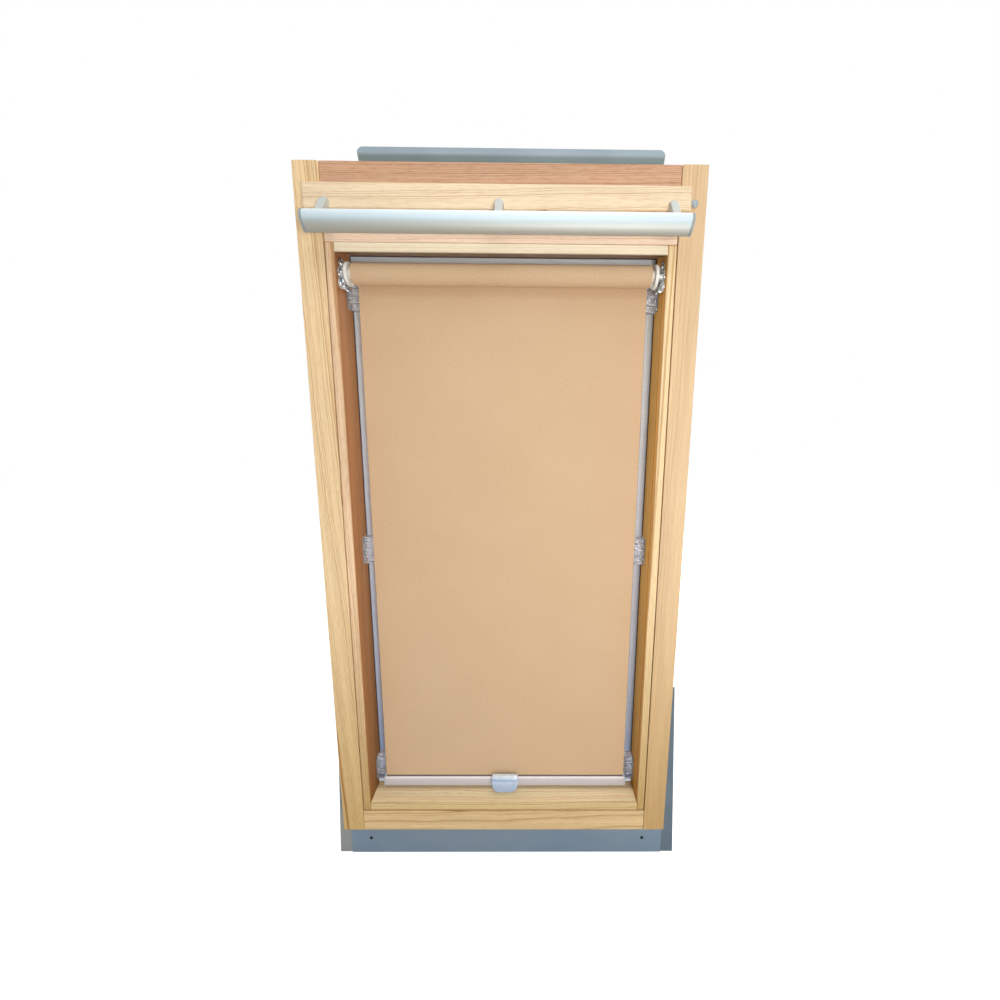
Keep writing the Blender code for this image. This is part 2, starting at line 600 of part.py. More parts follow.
def build_sash():
    """The pine sash: stiles, top rail, sloping head lining and sill."""
    depth = (ROOM_Y, WOOD_BACK_Y)
    half_depth = PIVOT_PLATE_DEPTH / 2
    half_height = PIVOT_PLATE_HEIGHT / 2
    pieces = []
    for side, sign in SIDES:
        stile = box("sash_stile_" + side, span(sign, REVEAL_X, SASH_X), depth,
                    (SASH_FOOT_Z, RAIL_SEAM_Z - FIT), PINE_DARK, WOOD_EDGE)
        cut(stile, box("stile_pocket_" + side, span(sign, SASH_X - SASH_PLATE - FIT, SASH_X + CUT_OVERSHOOT),
                       (-half_depth - FIT, half_depth + FIT),
                       (PIVOT_Z - half_height - FIT, PIVOT_Z + half_height + FIT), None))
        bore = PIVOT_PIN_RADIUS + PIN_CLEARANCE
        reach = PIVOT_PIN_REACH - SASH_SIDE_GAP + PIN_CLEARANCE
        cut(stile, turned("stile_bore_" + side, solid_disc(bore, -CUT_OVERSHOOT, reach),
                          (sign * SASH_X, 0, PIVOT_Z), (-sign, 0, 0), None, 24))
        plate = box("sash_pivot_" + side, span(sign, SASH_X - SASH_PLATE, SASH_X), (-half_depth, half_depth),
                    (PIVOT_Z - half_height, PIVOT_Z + half_height), STEEL)
        through = solid_disc(bore, -CUT_OVERSHOOT, SASH_PLATE + CUT_OVERSHOOT)
        axis_end = (sign * SASH_X, 0, PIVOT_Z)
        cut(plate, turned("plate_bore_" + side, through, axis_end, (-sign, 0, 0), None, 24))
        pieces += [stile, plate]
    rail = box("sash_top_rail", (-SASH_X, SASH_X), depth, (RAIL_SEAM_Z, SASH_HEAD_Z), PINE, WOOD_EDGE)
    pocket_low = SASH_HEAD_Z - LATCH_LENGTH - LATCH_TRAVEL - LATCH_SPARE_TRAVEL
    half_latch = LATCH_WIDTH / 2 + LATCH_CLEARANCE
    cut(rail, box("latch_pocket", (-half_latch, half_latch),
                  (-LATCH_DEPTH / 2 - LATCH_CLEARANCE, LATCH_DEPTH / 2 + LATCH_CLEARANCE),
                  (pocket_low, SASH_HEAD_Z + CUT_OVERSHOOT), None))
    inner = REVEAL_X - FIT
    slope_z = RAIL_SEAM_Z + RAIL_SLOPE_RISE
    past_y = WOOD_BACK_Y + CUT_OVERSHOOT
    past_z = slope_z + RAIL_SLOPE_RISE * CUT_OVERSHOOT / SASH_WOOD_DEPTH
    cut(rail, extruded("rail_slope", [
        (ROOM_Y, RAIL_SEAM_Z), (ROOM_Y, RAIL_SEAM_Z - CUT_OVERSHOOT), (past_y, RAIL_SEAM_Z - CUT_OVERSHOOT),
        (past_y, past_z),
    ], "X", (-REVEAL_X, REVEAL_X), None))
    under = RAIL_SEAM_Z - LINING_FRONT
    lining = extruded("sash_head_lining", [
        (ROOM_Y, RAIL_SEAM_Z - FIT), (ROOM_Y, under), (ROOM_Y + LINING_NOSE, under),
        (WOOD_BACK_Y, slope_z - LINING_BACK), (WOOD_BACK_Y, slope_z - FIT),
    ], "X", (-inner, inner), PINE)
    rounded(lining, WOOD_EDGE)
    sill = box("sash_sill", (-inner, inner), depth, (SASH_FOOT_Z, SILL_Z), PINE, WOOD_EDGE)
    return pieces + [rail, lining, sill]


def build_glass():
    """Two panes, the spacer frame between them and the aluminium profile that clamps them."""
    pieces = []
    for name, y in (("inner_pane", INNER_PANE_Y), ("outer_pane", OUTER_PANE_Y)):
        pane = box(name, (-GLASS_X, GLASS_X), (y, y + PANE_THICKNESS), (GLASS_FOOT_Z, GLASS_HEAD_Z), GLASS)
        pieces.append(pane)
    out = GLASS_X - SPACER_INSET
    hole = out - SPACER_SIDE
    low = GLASS_FOOT_Z + SPACER_INSET
    high = GLASS_HEAD_Z - SPACER_INSET
    spacer = box("pane_spacer", (-out, out), (SPACE_Y, SPACE_Y + PANE_SPACE), (low, high), ALUMINIUM)
    cut(spacer, box("spacer_hole", (-hole, hole),
                    (SPACE_Y - CUT_OVERSHOOT, SPACE_Y + PANE_SPACE + CUT_OVERSHOOT),
                    (low + SPACER_FOOT, high - SPACER_HEAD), None))
    pieces.append(spacer)
    outer_y = COVER_Y + SHEET
    lip = SASH_X - COVER_LIP
    section = [
        (SASH_X - COVER_WALL, INNER_PANE_Y), (SASH_X, INNER_PANE_Y), (SASH_X, outer_y),
        (lip, outer_y), (lip, COVER_Y), (SASH_X - COVER_WALL, COVER_Y),
    ]
    for side, sign in SIDES:
        height = (SASH_FOOT_Z, SASH_HEAD_Z)
        cover = extruded("sash_cover_" + side, mirrored(section, sign), "Z", height, GREY_COVER)
        for end, z, lip_height in (("foot", SASH_FOOT_Z, COVER_LIP), ("head", SASH_HEAD_Z, COVER_HEAD_LIP)):
            notch = lip_height + FIT
            cut(cover, box(f"cover_notch_{side}_{end}", span(sign, lip - CUT_OVERSHOOT, SASH_X - COVER_WALL),
                           (COVER_Y - CUT_OVERSHOOT, outer_y + CUT_OVERSHOOT), (z - notch, z + notch), None))
        pieces.append(cover)
    across = SASH_X - COVER_WALL - FIT
    for end, z, rise, wall in (("foot", SASH_FOOT_Z, COVER_LIP, COVER_WALL),
                               ("head", SASH_HEAD_Z, -COVER_HEAD_LIP, -COVER_WALL)):
        points = [
            (INNER_PANE_Y, z), (outer_y, z), (outer_y, z + rise), (COVER_Y, z + rise), (COVER_Y, z + wall),
            (INNER_PANE_Y, z + wall),
        ]
        pieces.append(extruded("sash_cover_" + end, points, "X", (-across, across), GREY_COVER))
    return pieces


def bar_section(radius, trim, steps=9):
    """Points on the control bar's front curve, from its top to its bottom."""
    start = math.pi - BAR_ANGLE + trim
    end = math.pi + BAR_ANGLE - trim
    return arc((BAR_CENTRE_Y, BAR_CENTRE_Z), radius, start, end, steps)


def slant_ends(item):
    """Leans the bar's ends, so that its top edge is the longer one."""
    for vertex in item.data.vertices:
        where = vertex.co + item.location
        drop = BAR_TOP_Z - where.z
        vertex.co.x -= math.copysign(BAR_SLANT * drop, where.x - BAR_MIDDLE)


def build_flap():
    """The ventilation flap, its hinge and the control bar on three cast arms."""
    board = box("flap_board", (FLAP_LEFT_X, FLAP_RIGHT_X), (FLAP_FRONT_Y, FLAP_Y),
                (FLAP_FOOT_Z, FLAP_FOOT_Z + FLAP_HEIGHT), PINE, FLAP_EDGE)
    pieces = [board]
    leaf_half = LEAF_WIDTH / 2
    strap_y = FLAP_Y - LEAF_THICKNESS - FIT
    cut(board, box("strap_pocket", (FLAP_CENTRE - leaf_half - FIT, FLAP_CENTRE + leaf_half + FIT),
                   (strap_y - FIT, FLAP_Y + CUT_OVERSHOOT),
                   (FLAP_FOOT_Z - CUT_OVERSHOOT, FLAP_FOOT_Z + LEAF_HEIGHT + FIT), None))
    pin_y, pin_z = FLAP_PIN.y, FLAP_PIN.z
    strap = box("flap_hinge_strap", (FLAP_CENTRE - leaf_half, FLAP_CENTRE + leaf_half),
                (strap_y, strap_y + LEAF_THICKNESS),
                (pin_z + KNUCKLE_RADIUS / 2, FLAP_FOOT_Z + LEAF_HEIGHT), STEEL)
    knuckle_half = leaf_half / 3
    join(strap, turned("strap_knuckle", solid_disc(KNUCKLE_RADIUS, -knuckle_half, knuckle_half),
                       FLAP_PIN, (1, 0, 0), None, 16))
    strap_clear = KNUCKLE_RADIUS + FIT
    for side, sign in SIDES:
        gap = [FLAP_CENTRE + x for x in span(sign, knuckle_half, leaf_half + CUT_OVERSHOOT)]
        cut(strap, box("strap_gap_" + side, gap, (pin_y - strap_clear, pin_y + strap_clear),
                       (pin_z - strap_clear, pin_z + strap_clear), None))
    pieces.append(strap)

    front = bar_section(BAR_RADIUS, 0)
    inner = bar_section(BAR_RADIUS - BAR_WALL, BAR_LIP_ANGLE)
    ends = (BAR_LEFT_X, BAR_RIGHT_X)
    bar = extruded("control_bar", front + inner[::-1], "X", ends, ALUMINIUM)
    slant_ends(bar)
    pieces.append(bar)
    for side, sign in SIDES:
        ends = [BAR_MIDDLE + x for x in span(sign, BAR_X + FIT, BAR_X + FIT + BAR_CAP)]
        cap = extruded("bar_cap_" + side, front, "X", ends, GREY_PLASTIC)
        slant_ends(cap)
        pieces.append(cap)

    pad_y = FLAP_FRONT_Y - FIT
    grip = bar_section(BAR_RADIUS - BAR_WALL - 2 * FIT, -2 * BAR_LIP_ANGLE, 7)
    head_z = FLAP_FOOT_Z + BRACKET_ON_FLAP
    arm = [(pad_y, FLAP_FOOT_Z - BRACKET_BELOW_FLAP), (pad_y, head_z), (pad_y - BRACKET_SHOULDER, head_z)]
    arm += grip[:5]
    for name, where in (("left", -1), ("centre", 0), ("right", 1)):
        middle = BAR_MIDDLE + where * (BAR_X - BRACKET_FROM_BAR_END)
        sides = (middle - BRACKET_WIDTH / 2, middle + BRACKET_WIDTH / 2)
        bracket = extruded("bar_arm_" + name, arm, "X", sides, CAST_GREY)
        rounded(bracket, BRACKET_ROUND, 2, 40)
        pieces.append(bracket)
    return pieces


def build_flap_hinge_leaf():
    """The hinge leaf screwed to the sash, with its two outer knuckles."""
    leaf_half = LEAF_WIDTH / 2
    pin_y, pin_z = FLAP_PIN.y, FLAP_PIN.z
    leaf_y = ROOM_Y - FIT - LEAF_THICKNESS
    leaf = box("sash_hinge_leaf", (FLAP_CENTRE - leaf_half, FLAP_CENTRE + leaf_half),
               (leaf_y, leaf_y + LEAF_THICKNESS),
               (pin_z - LEAF_HEIGHT, pin_z - KNUCKLE_RADIUS / 2), STEEL)
    near, far = leaf_half / 3 + FIT, leaf_half
    length = far - near
    for side, sign in SIDES:
        join(leaf, turned("leaf_knuckle_" + side, solid_disc(KNUCKLE_RADIUS, -length / 2, length / 2),
                          (FLAP_CENTRE + sign * (near + far) / 2, pin_y, pin_z), (1, 0, 0), None, 16))
    clear = KNUCKLE_RADIUS + FIT
    cut(leaf, box("leaf_gap", (FLAP_CENTRE - near, FLAP_CENTRE + near), (pin_y - clear, pin_y + clear),
                  (pin_z - clear, pin_z + clear), None))
    return leaf


def build_latch():
    half = LATCH_WIDTH / 2
    return box("latch_bolt", (-half, half), (-LATCH_DEPTH / 2, LATCH_DEPTH / 2),
               (SASH_HEAD_Z - LATCH_LENGTH, SASH_HEAD_Z + LATCH_TIP), STEEL, LATCH_EDGE)


def helix(radius, length, turns, per_turn):
    """Points along a coil about X, centred on the origin."""
    count = turns * per_turn
    points = []
    for step in range(count + 1):
        angle = 2 * math.pi * step / per_turn
        points.append((length * (step / count - 0.5), radius * math.cos(angle), radius * math.sin(angle)))
    return points


def build_roller():
    """The spring roller: fabric wound on a tube, two guide discs and the spring inside."""
    wall = ring(TUBE_RADIUS, TUBE_RADIUS - TUBE_WALL, -TUBE_X, TUBE_X)
    tube = turned("roller_tube", wall, ROLLER, (1, 0, 0), ALUMINIUM, 24)
    roll = turned("fabric_roll", ring(ROLL_RADIUS, TUBE_RADIUS + FIT, -FABRIC_X, FABRIC_X), ROLLER, (1, 0, 0),
                  FABRIC, 40)
    pieces = [tube, roll]
    rim = [(DISC_RADIUS - DISC_EDGE, DISC_OUT_X), (DISC_RADIUS, DISC_OUT_X - DISC_EDGE),
           (DISC_RADIUS, DISC_X), (NECK_RADIUS, DISC_X), (NECK_RADIUS, NECK_X), (HUB_RADIUS, NECK_X),
           (HUB_RADIUS, HUB_END_X)]
    idle = [(0, AXLE_END_X), (AXLE_RADIUS, AXLE_END_X), (AXLE_RADIUS, DISC_OUT_X)] + rim + [(0, HUB_END_X)]
    pieces.append(turned("guide_disc_left", idle, ROLLER, (-1, 0, 0), WHITE_PLASTIC, 32))
    bore = AXLE_RADIUS + FIT
    spring_end = [(bore, DISC_OUT_X)] + rim + [(bore, HUB_END_X), (bore, DISC_OUT_X)]
    pieces.append(turned("guide_disc_right", spring_end, ROLLER, (1, 0, 0), WHITE_PLASTIC, 32))

    curve = bpy.data.curves.new("roller_spring", "CURVE")
    curve.dimensions = "3D"
    curve.bevel_depth = SPRING_WIRE / 2
    curve.bevel_resolution = 0
    curve.use_fill_caps = True
    points = helix(SPRING_RADIUS, SPRING_LENGTH, SPRING_TURNS, SPRING_STEPS)
    spline = curve.splines.new("POLY")
    spline.points.add(len(points) - 1)
    for point, (x, y, z) in zip(spline.points, points):
        point.co = (x, y, z, 1)
    spring = bpy.data.objects.new("roller_spring", curve)
    spring.location = ROLLER + Vector((SPRING_X, 0, 0))
    curve.materials.append(STEEL)
    PARTS.objects.link(spring)
    pieces.append(spring)
    return pieces


def build_bearers():
    """The two plated brackets on the reveals, and the fixed axle that the spring turns about."""
    pieces = []
    mid_y = ROLLER.y
    low_y, high_y = mid_y - BEARER_WIDTH / 2, mid_y + BEARER_WIDTH / 2
    high_z = BEARER_LOW_Z + BEARER_HEIGHT
    cup_x = DISC_OUT_X + BEARER_CUP_FROM_DISC
    weld_x = BEARER_X - BEARER_PLATE / 4
    for side, sign in SIDES:
        plate_x = span(sign, BEARER_X - BEARER_PLATE, BEARER_X)
        outline = rounded_outline((low_y, BEARER_LOW_Z), (high_y, high_z), BEARER_CORNER, 3)
        bearer = extruded("roller_bearer_" + side, outline, "X", plate_x, STEEL)
        cup = turned("bearer_cup_" + side, solid_disc(BEARER_CUP_RADIUS, cup_x, weld_x), ROLLER, (sign, 0, 0),
                     None, 24)
        join(bearer, cup)
        lip = box("bearer_lip_" + side, span(sign, BEARER_X - BEARER_LIP, weld_x),
                  (low_y + BEARER_CORNER, high_y - BEARER_CORNER),
                  (BEARER_LOW_Z, BEARER_LOW_Z + BEARER_PLATE), None)
        join(bearer, lip)
        bore = solid_disc(AXLE_RADIUS + FIT, cup_x - CUT_OVERSHOOT, AXLE_END_X + FIT)
        cut(bearer, turned("bearer_seat_" + side, bore, ROLLER, (sign, 0, 0), None, 24))
        low_hole_z = BEARER_LOW_Z + SCREW_HOLE_INSET
        holes = (("top", mid_y, high_z - SCREW_HOLE_INSET),
                 ("front", mid_y - LOW_HOLE_SPACING / 2, low_hole_z),
                 ("back", mid_y + LOW_HOLE_SPACING / 2, low_hole_z))
        for where, y, z in holes:
            through = solid_disc(SCREW_HOLE_RADIUS, -CUT_OVERSHOOT, BEARER_PLATE + CUT_OVERSHOOT)
            place_at = (sign * BEARER_X, y, z)
            cut(bearer, turned(f"bearer_hole_{side}_{where}", through, place_at, (-sign, 0, 0), None, 12))
        pieces.append(bearer)
    inside = SPRING_X - SPRING_LENGTH / 2 - AXLE_PAST_SPRING
    axle = solid_disc(AXLE_RADIUS, inside, AXLE_END_X)
    pieces.append(turned("spring_axle", axle, ROLLER, (1, 0, 0), STEEL, 16))
    return pieces


def build_claws():
    """Clear catch claws in three pairs: a plate on the reveal and a toothed web behind the rail's pins."""
    pieces = []
    pitch = (CLAW_HEIGHT - CLAW_TOOTH) / (CLAW_TEETH - 1)
    web_y = CLAW_BACK_Y - CLAW_WEB
    for level, middle in CLAW_LEVELS:
        foot = middle - CLAW_HEIGHT / 2
        comb = [(CLAW_BACK_Y, foot + CLAW_HEIGHT), (CLAW_BACK_Y, foot)]
        for tooth in range(CLAW_TEETH):
            low = foot + tooth * pitch
            tip = CLAW_FRONT_Y if tooth else CLAW_FRONT_Y + CLAW_LEAD_IN
            comb += [(tip, low), (tip, low + CLAW_TOOTH / 2), (tip + CLAW_TOOTH_SLOPE, low + CLAW_TOOTH)]
            if tooth < CLAW_TEETH - 1:
                comb += [(web_y, low + CLAW_TOOTH), (web_y, low + pitch)]
        for side, sign in SIDES:
            far = BEARER_X
            reach = span(sign, far - CLAW_REACH, far - CLAW_BASE / 2)
            claw = extruded(f"claw_{level}_{side}", comb, "X", reach, CLEAR_PLASTIC)
            base = box(f"claw_base_{level}_{side}", span(sign, far - CLAW_BASE, far),
                       (CLAW_BACK_Y - CLAW_BASE_DEPTH, CLAW_BACK_Y + CLAW_BASE_MARGIN),
                       (foot + CLAW_BASE_MARGIN, foot + CLAW_HEIGHT - CLAW_BASE_MARGIN), None)
            join(claw, base)
            pieces.append(claw)
    return pieces


def build_bottom_rail():
    """The rail at the fabric's hem, its end caps with pins, and the pull handle."""
    room, back = FABRIC_Y - RAIL_DEPTH / 2, FABRIC_Y + RAIL_DEPTH / 2
    section = rounded_outline((room, RAIL_FOOT_Z), (back, RAIL_HEAD_Z), RAIL_ROUND, 3)
    rail = extruded("bottom_rail", section, "X", (-RAIL_X, RAIL_X), ALUMINIUM)
    slot_x = RAIL_X + CUT_OVERSHOOT
    cut(rail, box("rail_slot", (-slot_x, slot_x), (FABRIC_Y - RAIL_SLOT / 2, FABRIC_Y + RAIL_SLOT / 2),
                  (RAIL_HEAD_Z - RAIL_SLOT_DEPTH, RAIL_HEAD_Z + CUT_OVERSHOOT), None))
    pieces = [rail]
    for side, sign in SIDES:
        ends = span(sign, RAIL_CAP_X, RAIL_CAP_X + RAIL_CAP)
        cap = extruded("rail_cap_" + side, section, "X", ends, GREY_PLASTIC)
        stub = solid_disc(RAIL_PIN_RADIUS, RAIL_CAP / 2, RAIL_CAP + RAIL_PIN_LENGTH)
        pin_foot = (sign * RAIL_CAP_X, FABRIC_Y, RAIL_Z)
        join(cap, turned("rail_pin_" + side, stub, pin_foot, (sign, 0, 0), None, 16))
        pieces.append(cap)
    grip_back = room - FIT
    grip_room = grip_back - HANDLE_DEPTH
    top = RAIL_HEAD_Z + HANDLE_ABOVE_RAIL
    foot = RAIL_FOOT_Z - HANDLE_BELOW_RAIL
    neck_y = grip_back - HANDLE_NECK_THICKNESS
    brow_y = grip_back - HANDLE_TOP_THICKNESS
    side_view = [
        (grip_back, foot + HANDLE_BACK_CHAMFER), (grip_back, top), (brow_y, top),
        ((brow_y + neck_y) / 2, top - 0.8 * HANDLE_NECK_DROP), (neck_y, top - HANDLE_NECK_DROP),
        (grip_room + HANDLE_LIP_DEPTH / 3, foot + HANDLE_LIP_HEIGHT),
        (grip_room, foot + 0.4 * HANDLE_LIP_HEIGHT),
        (grip_room + HANDLE_LIP_DEPTH / 4, foot), (grip_room + HANDLE_LIP_DEPTH, foot),
    ]
    handle = extruded("pull_handle", side_view, "X", (-HANDLE_WIDTH / 2, HANDLE_WIDTH / 2), GREY_PLASTIC)
    half = HANDLE_WIDTH / 2
    front_view = [(-half - CUT_OVERSHOOT, top + CUT_OVERSHOOT), (-half, foot + HANDLE_CORNER)]
    corner_z = foot + HANDLE_CORNER
    low = 1.5 * math.pi
    front_view += arc((HANDLE_CORNER - half, corner_z), HANDLE_CORNER, math.pi, low, 6)
    front_view += arc((half - HANDLE_CORNER, corner_z), HANDLE_CORNER, low, 2 * math.pi, 6)
    front_view += [(half + CUT_OVERSHOOT, top + CUT_OVERSHOOT)]
    past = (grip_room - CUT_OVERSHOOT, grip_back + CUT_OVERSHOOT)
    shape = extruded("handle_shape", front_view, "Y", past, None)
    combine(handle, shape, "INTERSECT")
    pieces.append(handle)
    return pieces


def build_fabric():
    """The taut blackout cloth from the back of the roll down into the rail's slot."""
    half = FABRIC_THICKNESS / 2
    return box("blind_fabric", (-FABRIC_X, FABRIC_X), (FABRIC_Y - half, FABRIC_Y + half),
               (FABRIC_FOOT_Z, ROLLER.z), FABRIC)


def axis_empty(name, where, parent=None):
    """An empty on a joint's axis, which the moving pieces hang on."""
    marker = bpy.data.objects.new(name, None)
    marker.empty_display_size = 0.05
    PARTS.objects.link(marker)
    marker.location = where
    if parent:
        marker.parent = parent
        marker.location = Vector(where) - parent.matrix_world.translation
    bpy.context.view_layer.update()
    return marker


def hang(pieces, marker):
    """Parents each piece to its axis and leaves it where it stands."""
    for piece in pieces:
        piece.parent = marker
        piece.location = piece.location - marker.matrix_world.translation


def build():
    build_frame()
    build_outside_covers()
    sash_axis = axis_empty("sash_pivot_axis", (0, 0, PIVOT_Z))
    hang(build_sash() + build_glass() + [build_flap_hinge_leaf()], sash_axis)
    hang(build_bearers() + build_claws() + [build_fabric()], sash_axis)
    hang(build_flap(), axis_empty("flap_axis", FLAP_PIN, sash_axis))
    hang([build_latch()], axis_empty("latch_axis", (0, 0, SASH_HEAD_Z), sash_axis))
    hang(build_roller(), axis_empty("roller_axis", ROLLER, sash_axis))
    hang(build_bottom_rail(), axis_empty("rail_slide_axis", (0, FABRIC_Y, RAIL_Z), sash_axis))
    for item in PARTS.objects:
        if item.type == "MESH":
            item.data.shade_smooth()
            item.data.set_sharp_from_angle(angle=math.radians(35))


build()
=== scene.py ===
# %% [markdown]
# # A pine roof window with its blackout blind
#
# This lesson dresses a finished CAD model of a small centre-pivot roof window. The wooden
# frame, the tilting sash, the ventilation flap with its pull bar and the spring roller blind
# are already there, at their real sizes. What is added here is what the eye looks for: wood
# grain, woven cloth, moulded and clear plastic, plated steel, seals and screws. The frame is
# loaded first, because every new piece takes its place from it.

# %% Load the CAD model and keep its box
import math

import bpy
from mathutils import Matrix, Vector


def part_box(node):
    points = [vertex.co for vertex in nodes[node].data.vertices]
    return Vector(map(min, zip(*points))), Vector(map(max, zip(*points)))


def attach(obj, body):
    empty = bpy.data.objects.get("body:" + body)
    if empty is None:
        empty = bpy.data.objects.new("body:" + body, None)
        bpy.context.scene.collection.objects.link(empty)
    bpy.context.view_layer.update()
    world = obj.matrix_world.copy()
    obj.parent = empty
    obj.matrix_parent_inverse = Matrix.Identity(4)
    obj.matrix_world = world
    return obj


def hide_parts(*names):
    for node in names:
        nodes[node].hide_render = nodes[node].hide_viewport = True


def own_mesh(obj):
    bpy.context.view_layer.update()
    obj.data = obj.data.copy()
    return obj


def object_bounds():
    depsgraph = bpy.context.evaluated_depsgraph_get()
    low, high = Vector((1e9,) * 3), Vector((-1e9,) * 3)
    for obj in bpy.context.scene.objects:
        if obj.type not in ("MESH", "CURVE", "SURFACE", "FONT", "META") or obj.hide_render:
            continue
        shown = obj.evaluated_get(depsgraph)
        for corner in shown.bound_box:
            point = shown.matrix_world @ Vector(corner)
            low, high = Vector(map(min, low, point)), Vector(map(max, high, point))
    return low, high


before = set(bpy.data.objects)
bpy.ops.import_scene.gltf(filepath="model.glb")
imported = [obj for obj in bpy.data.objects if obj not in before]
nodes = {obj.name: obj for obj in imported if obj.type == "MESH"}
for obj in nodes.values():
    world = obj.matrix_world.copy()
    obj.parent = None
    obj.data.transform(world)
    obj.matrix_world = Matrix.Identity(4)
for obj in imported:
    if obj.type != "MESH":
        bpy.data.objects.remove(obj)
cad_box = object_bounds()
print("nodes:", len(nodes), "box:", [round(x, 4) for corner in cad_box for x in corner])

# %% [markdown]
# ## The camera
#
# The window was photographed from close by with a wide lens, from just above its middle, so
# that its foot looks narrower than its head. A camera's place and lens can be tried by hand,
# but four frame corners and a dozen smaller marks fix them better: the numbers below are the
# best fit to those marks. The shift is only what the framing of the picture needs.

# %% Place the camera
camera = bpy.data.objects.new("camera", bpy.data.cameras.new("camera"))
bpy.context.scene.collection.objects.link(camera)
camera.location = (0.03895, -0.67945, 0.69785)
camera.rotation_euler = [math.radians(turn) for turn in (80.0627, -0.4064, -0.4197)]
camera.data.sensor_width = 36
camera.data.lens = 15.630
camera.data.shift_x = -0.0324
camera.data.shift_y = -0.0052
camera.data.clip_start = 0.01
camera.data.clip_end = 50
bpy.context.scene.camera = camera
bpy.context.scene.view_settings.view_transform = "Standard"
print("camera at", [round(x, 3) for x in camera.location], "lens", camera.data.lens)

# %% [markdown]
# ## Colour and node helpers
#
# Colours are written as the sRGB hex codes that a paint or picture program shows, while a
# shader wants linear light, so one function turns one into the other. A second function adds
# a shader node together with its settings and its links, which keeps each finish to a few
# readable lines. A third starts a finish: a Principled shader with its plain values set on
# its own sockets.

# %% Helpers for colours and nodes
def linear(code):
    """An sRGB hex colour as the linear colour that shaders use."""
    parts = [int(code[i : i + 2], 16) / 255 for i in (1, 3, 5)]
    return [c / 12.92 if c <= 0.04045 else ((c + 0.055) / 1.055) ** 2.4 for c in parts] + [1.0]


def add_node(material, kind, sockets=None, **settings):
    """Adds a shader node, makes its settings and fills or links its sockets."""
    made = material.node_tree.nodes.new("ShaderNode" + kind)
    for name, value in settings.items():
        setattr(made, name, value)
    for name, value in (sockets or {}).items():
        if isinstance(value, bpy.types.NodeSocket):
            material.node_tree.links.new(value, made.inputs[name])
        else:
            made.inputs[name].default_value = value
    return made


def fill_ramp(ramp, stops):
    """Sets a colour ramp's stops, given as (position, hex colour)."""
    elements = ramp.color_ramp.elements
    elements[0].position, elements[1].position = stops[0][0], stops[-1][0]
    elements[0].color, elements[1].color = linear(stops[0][1]), linear(stops[-1][1])
    for position, colour in stops[1:-1]:
        elements.new(position).color = linear(colour)


print("sand is", [round(c, 3) for c in linear("#d0ae87")])


# %% Helpers for finishes
def new_finish(name, **plain):
    """A new material and its Principled shader, with plain values set on its sockets."""
    material = bpy.data.materials.new(name)
    material.use_nodes = True
    shader = material.node_tree.nodes["Principled BSDF"]
    for socket, value in plain.items():
        shader.inputs[socket.replace("_", " ")].default_value = value
    return material, shader


def feed(material, shader, **sources):
    """Links node outputs into a shader's sockets."""
    for socket, source in sources.items():
        material.node_tree.links.new(source, shader.inputs[socket.replace("_", " ")])


def tint_by_height(material, colour, levels):
    """Multiplies a colour by one that changes with height: levels are (z, hex colour)."""
    place = add_node(material, "TexCoord")
    parts = add_node(material, "SeparateXYZ", {0: place.outputs["Object"]})
    low, high = levels[0][0], levels[-1][0]
    share = add_node(
        material, "MapRange", {"Value": parts.outputs["Z"], "From Min": low, "From Max": high}
    )
    ramp = add_node(material, "ValToRGB", {"Fac": share.outputs["Result"]})
    fill_ramp(ramp, [((z - low) / (high - low), tint) for z, tint in levels])
    return add_node(
        material, "Mix", {0: 1.0, 6: colour, 7: ramp.outputs["Color"]}, data_type="RGBA",
        blend_type="MULTIPLY",
    ).outputs[2]


def either_ray(material, first, second):
    """1 for rays of light of either kind, and 0 for all others."""
    kinds = add_node(material, "LightPath")
    return add_node(
        material, "Math", {0: kinds.outputs[first], 1: kinds.outputs[second]},
        operation="MAXIMUM",
    ).outputs[0]


def dress(material, *names):
    """Gives CAD nodes a finish."""
    for name in names:
        nodes[name].data.materials.clear()
        nodes[name].data.materials.append(material)


print("nodes to dress:", len(nodes))

# %% [markdown]
# ## Light, floor and background
#
# A product photo of a window has a white background and light that comes from everywhere. The
# main lamp hangs near the camera, low and a little to the right, so that it also reaches the
# boards behind the pull bar. Large lamps above, overhead and behind soften its shadows, and a
# dim world fills them. The white background isn't made by more light: the world shows white
# only to rays from the camera and through glass. Glossy rays see a pale room instead, whiter
# above than below, because satin metal that mirrors an even white looks like paper.

# %% Set the world
WHITE = (1.0, 1.0, 1.0, 1.0)
DIM = (0.30, 0.30, 0.30, 1.0)
SKYWARD = (0.0, 0.35, 0.75)  # the mirrored room gets whiter this way
world = bpy.data.worlds.new("soft room")
world.use_nodes = True
bpy.context.scene.world = world
height = add_node(
    world, "VectorMath",
    {0: add_node(world, "TexCoord").outputs["Generated"], 1: SKYWARD},
    operation="DOT_PRODUCT",
)
span = add_node(
    world, "MapRange", {"Value": height.outputs["Value"], "From Min": -0.5, "From Max": 0.9}
)
room = add_node(world, "ValToRGB", {"Fac": span.outputs["Result"]})
fill_ramp(room, [(0.0, "#a59d89"), (0.25, "#bcb9ac"), (0.5, "#cfdfe6"), (0.75, "#e6f2f7"),
                 (0.9, "#ffffff")])
glossy = add_node(world, "LightPath").outputs["Is Glossy Ray"]
mirrored = add_node(world, "Mix", {0: glossy, 6: DIM, 7: room.outputs["Color"]}, data_type="RGBA")
seen = either_ray(world, "Is Camera Ray", "Is Transmission Ray")
backdrop = add_node(world, "Mix", {0: seen, 6: mirrored.outputs[2], 7: WHITE}, data_type="RGBA")
world_light = world.node_tree.nodes["Background"]
world_light.inputs["Strength"].default_value = 1.0
world.node_tree.links.new(backdrop.outputs[2], world_light.inputs["Color"])
print("world nodes:", len(world.node_tree.nodes))


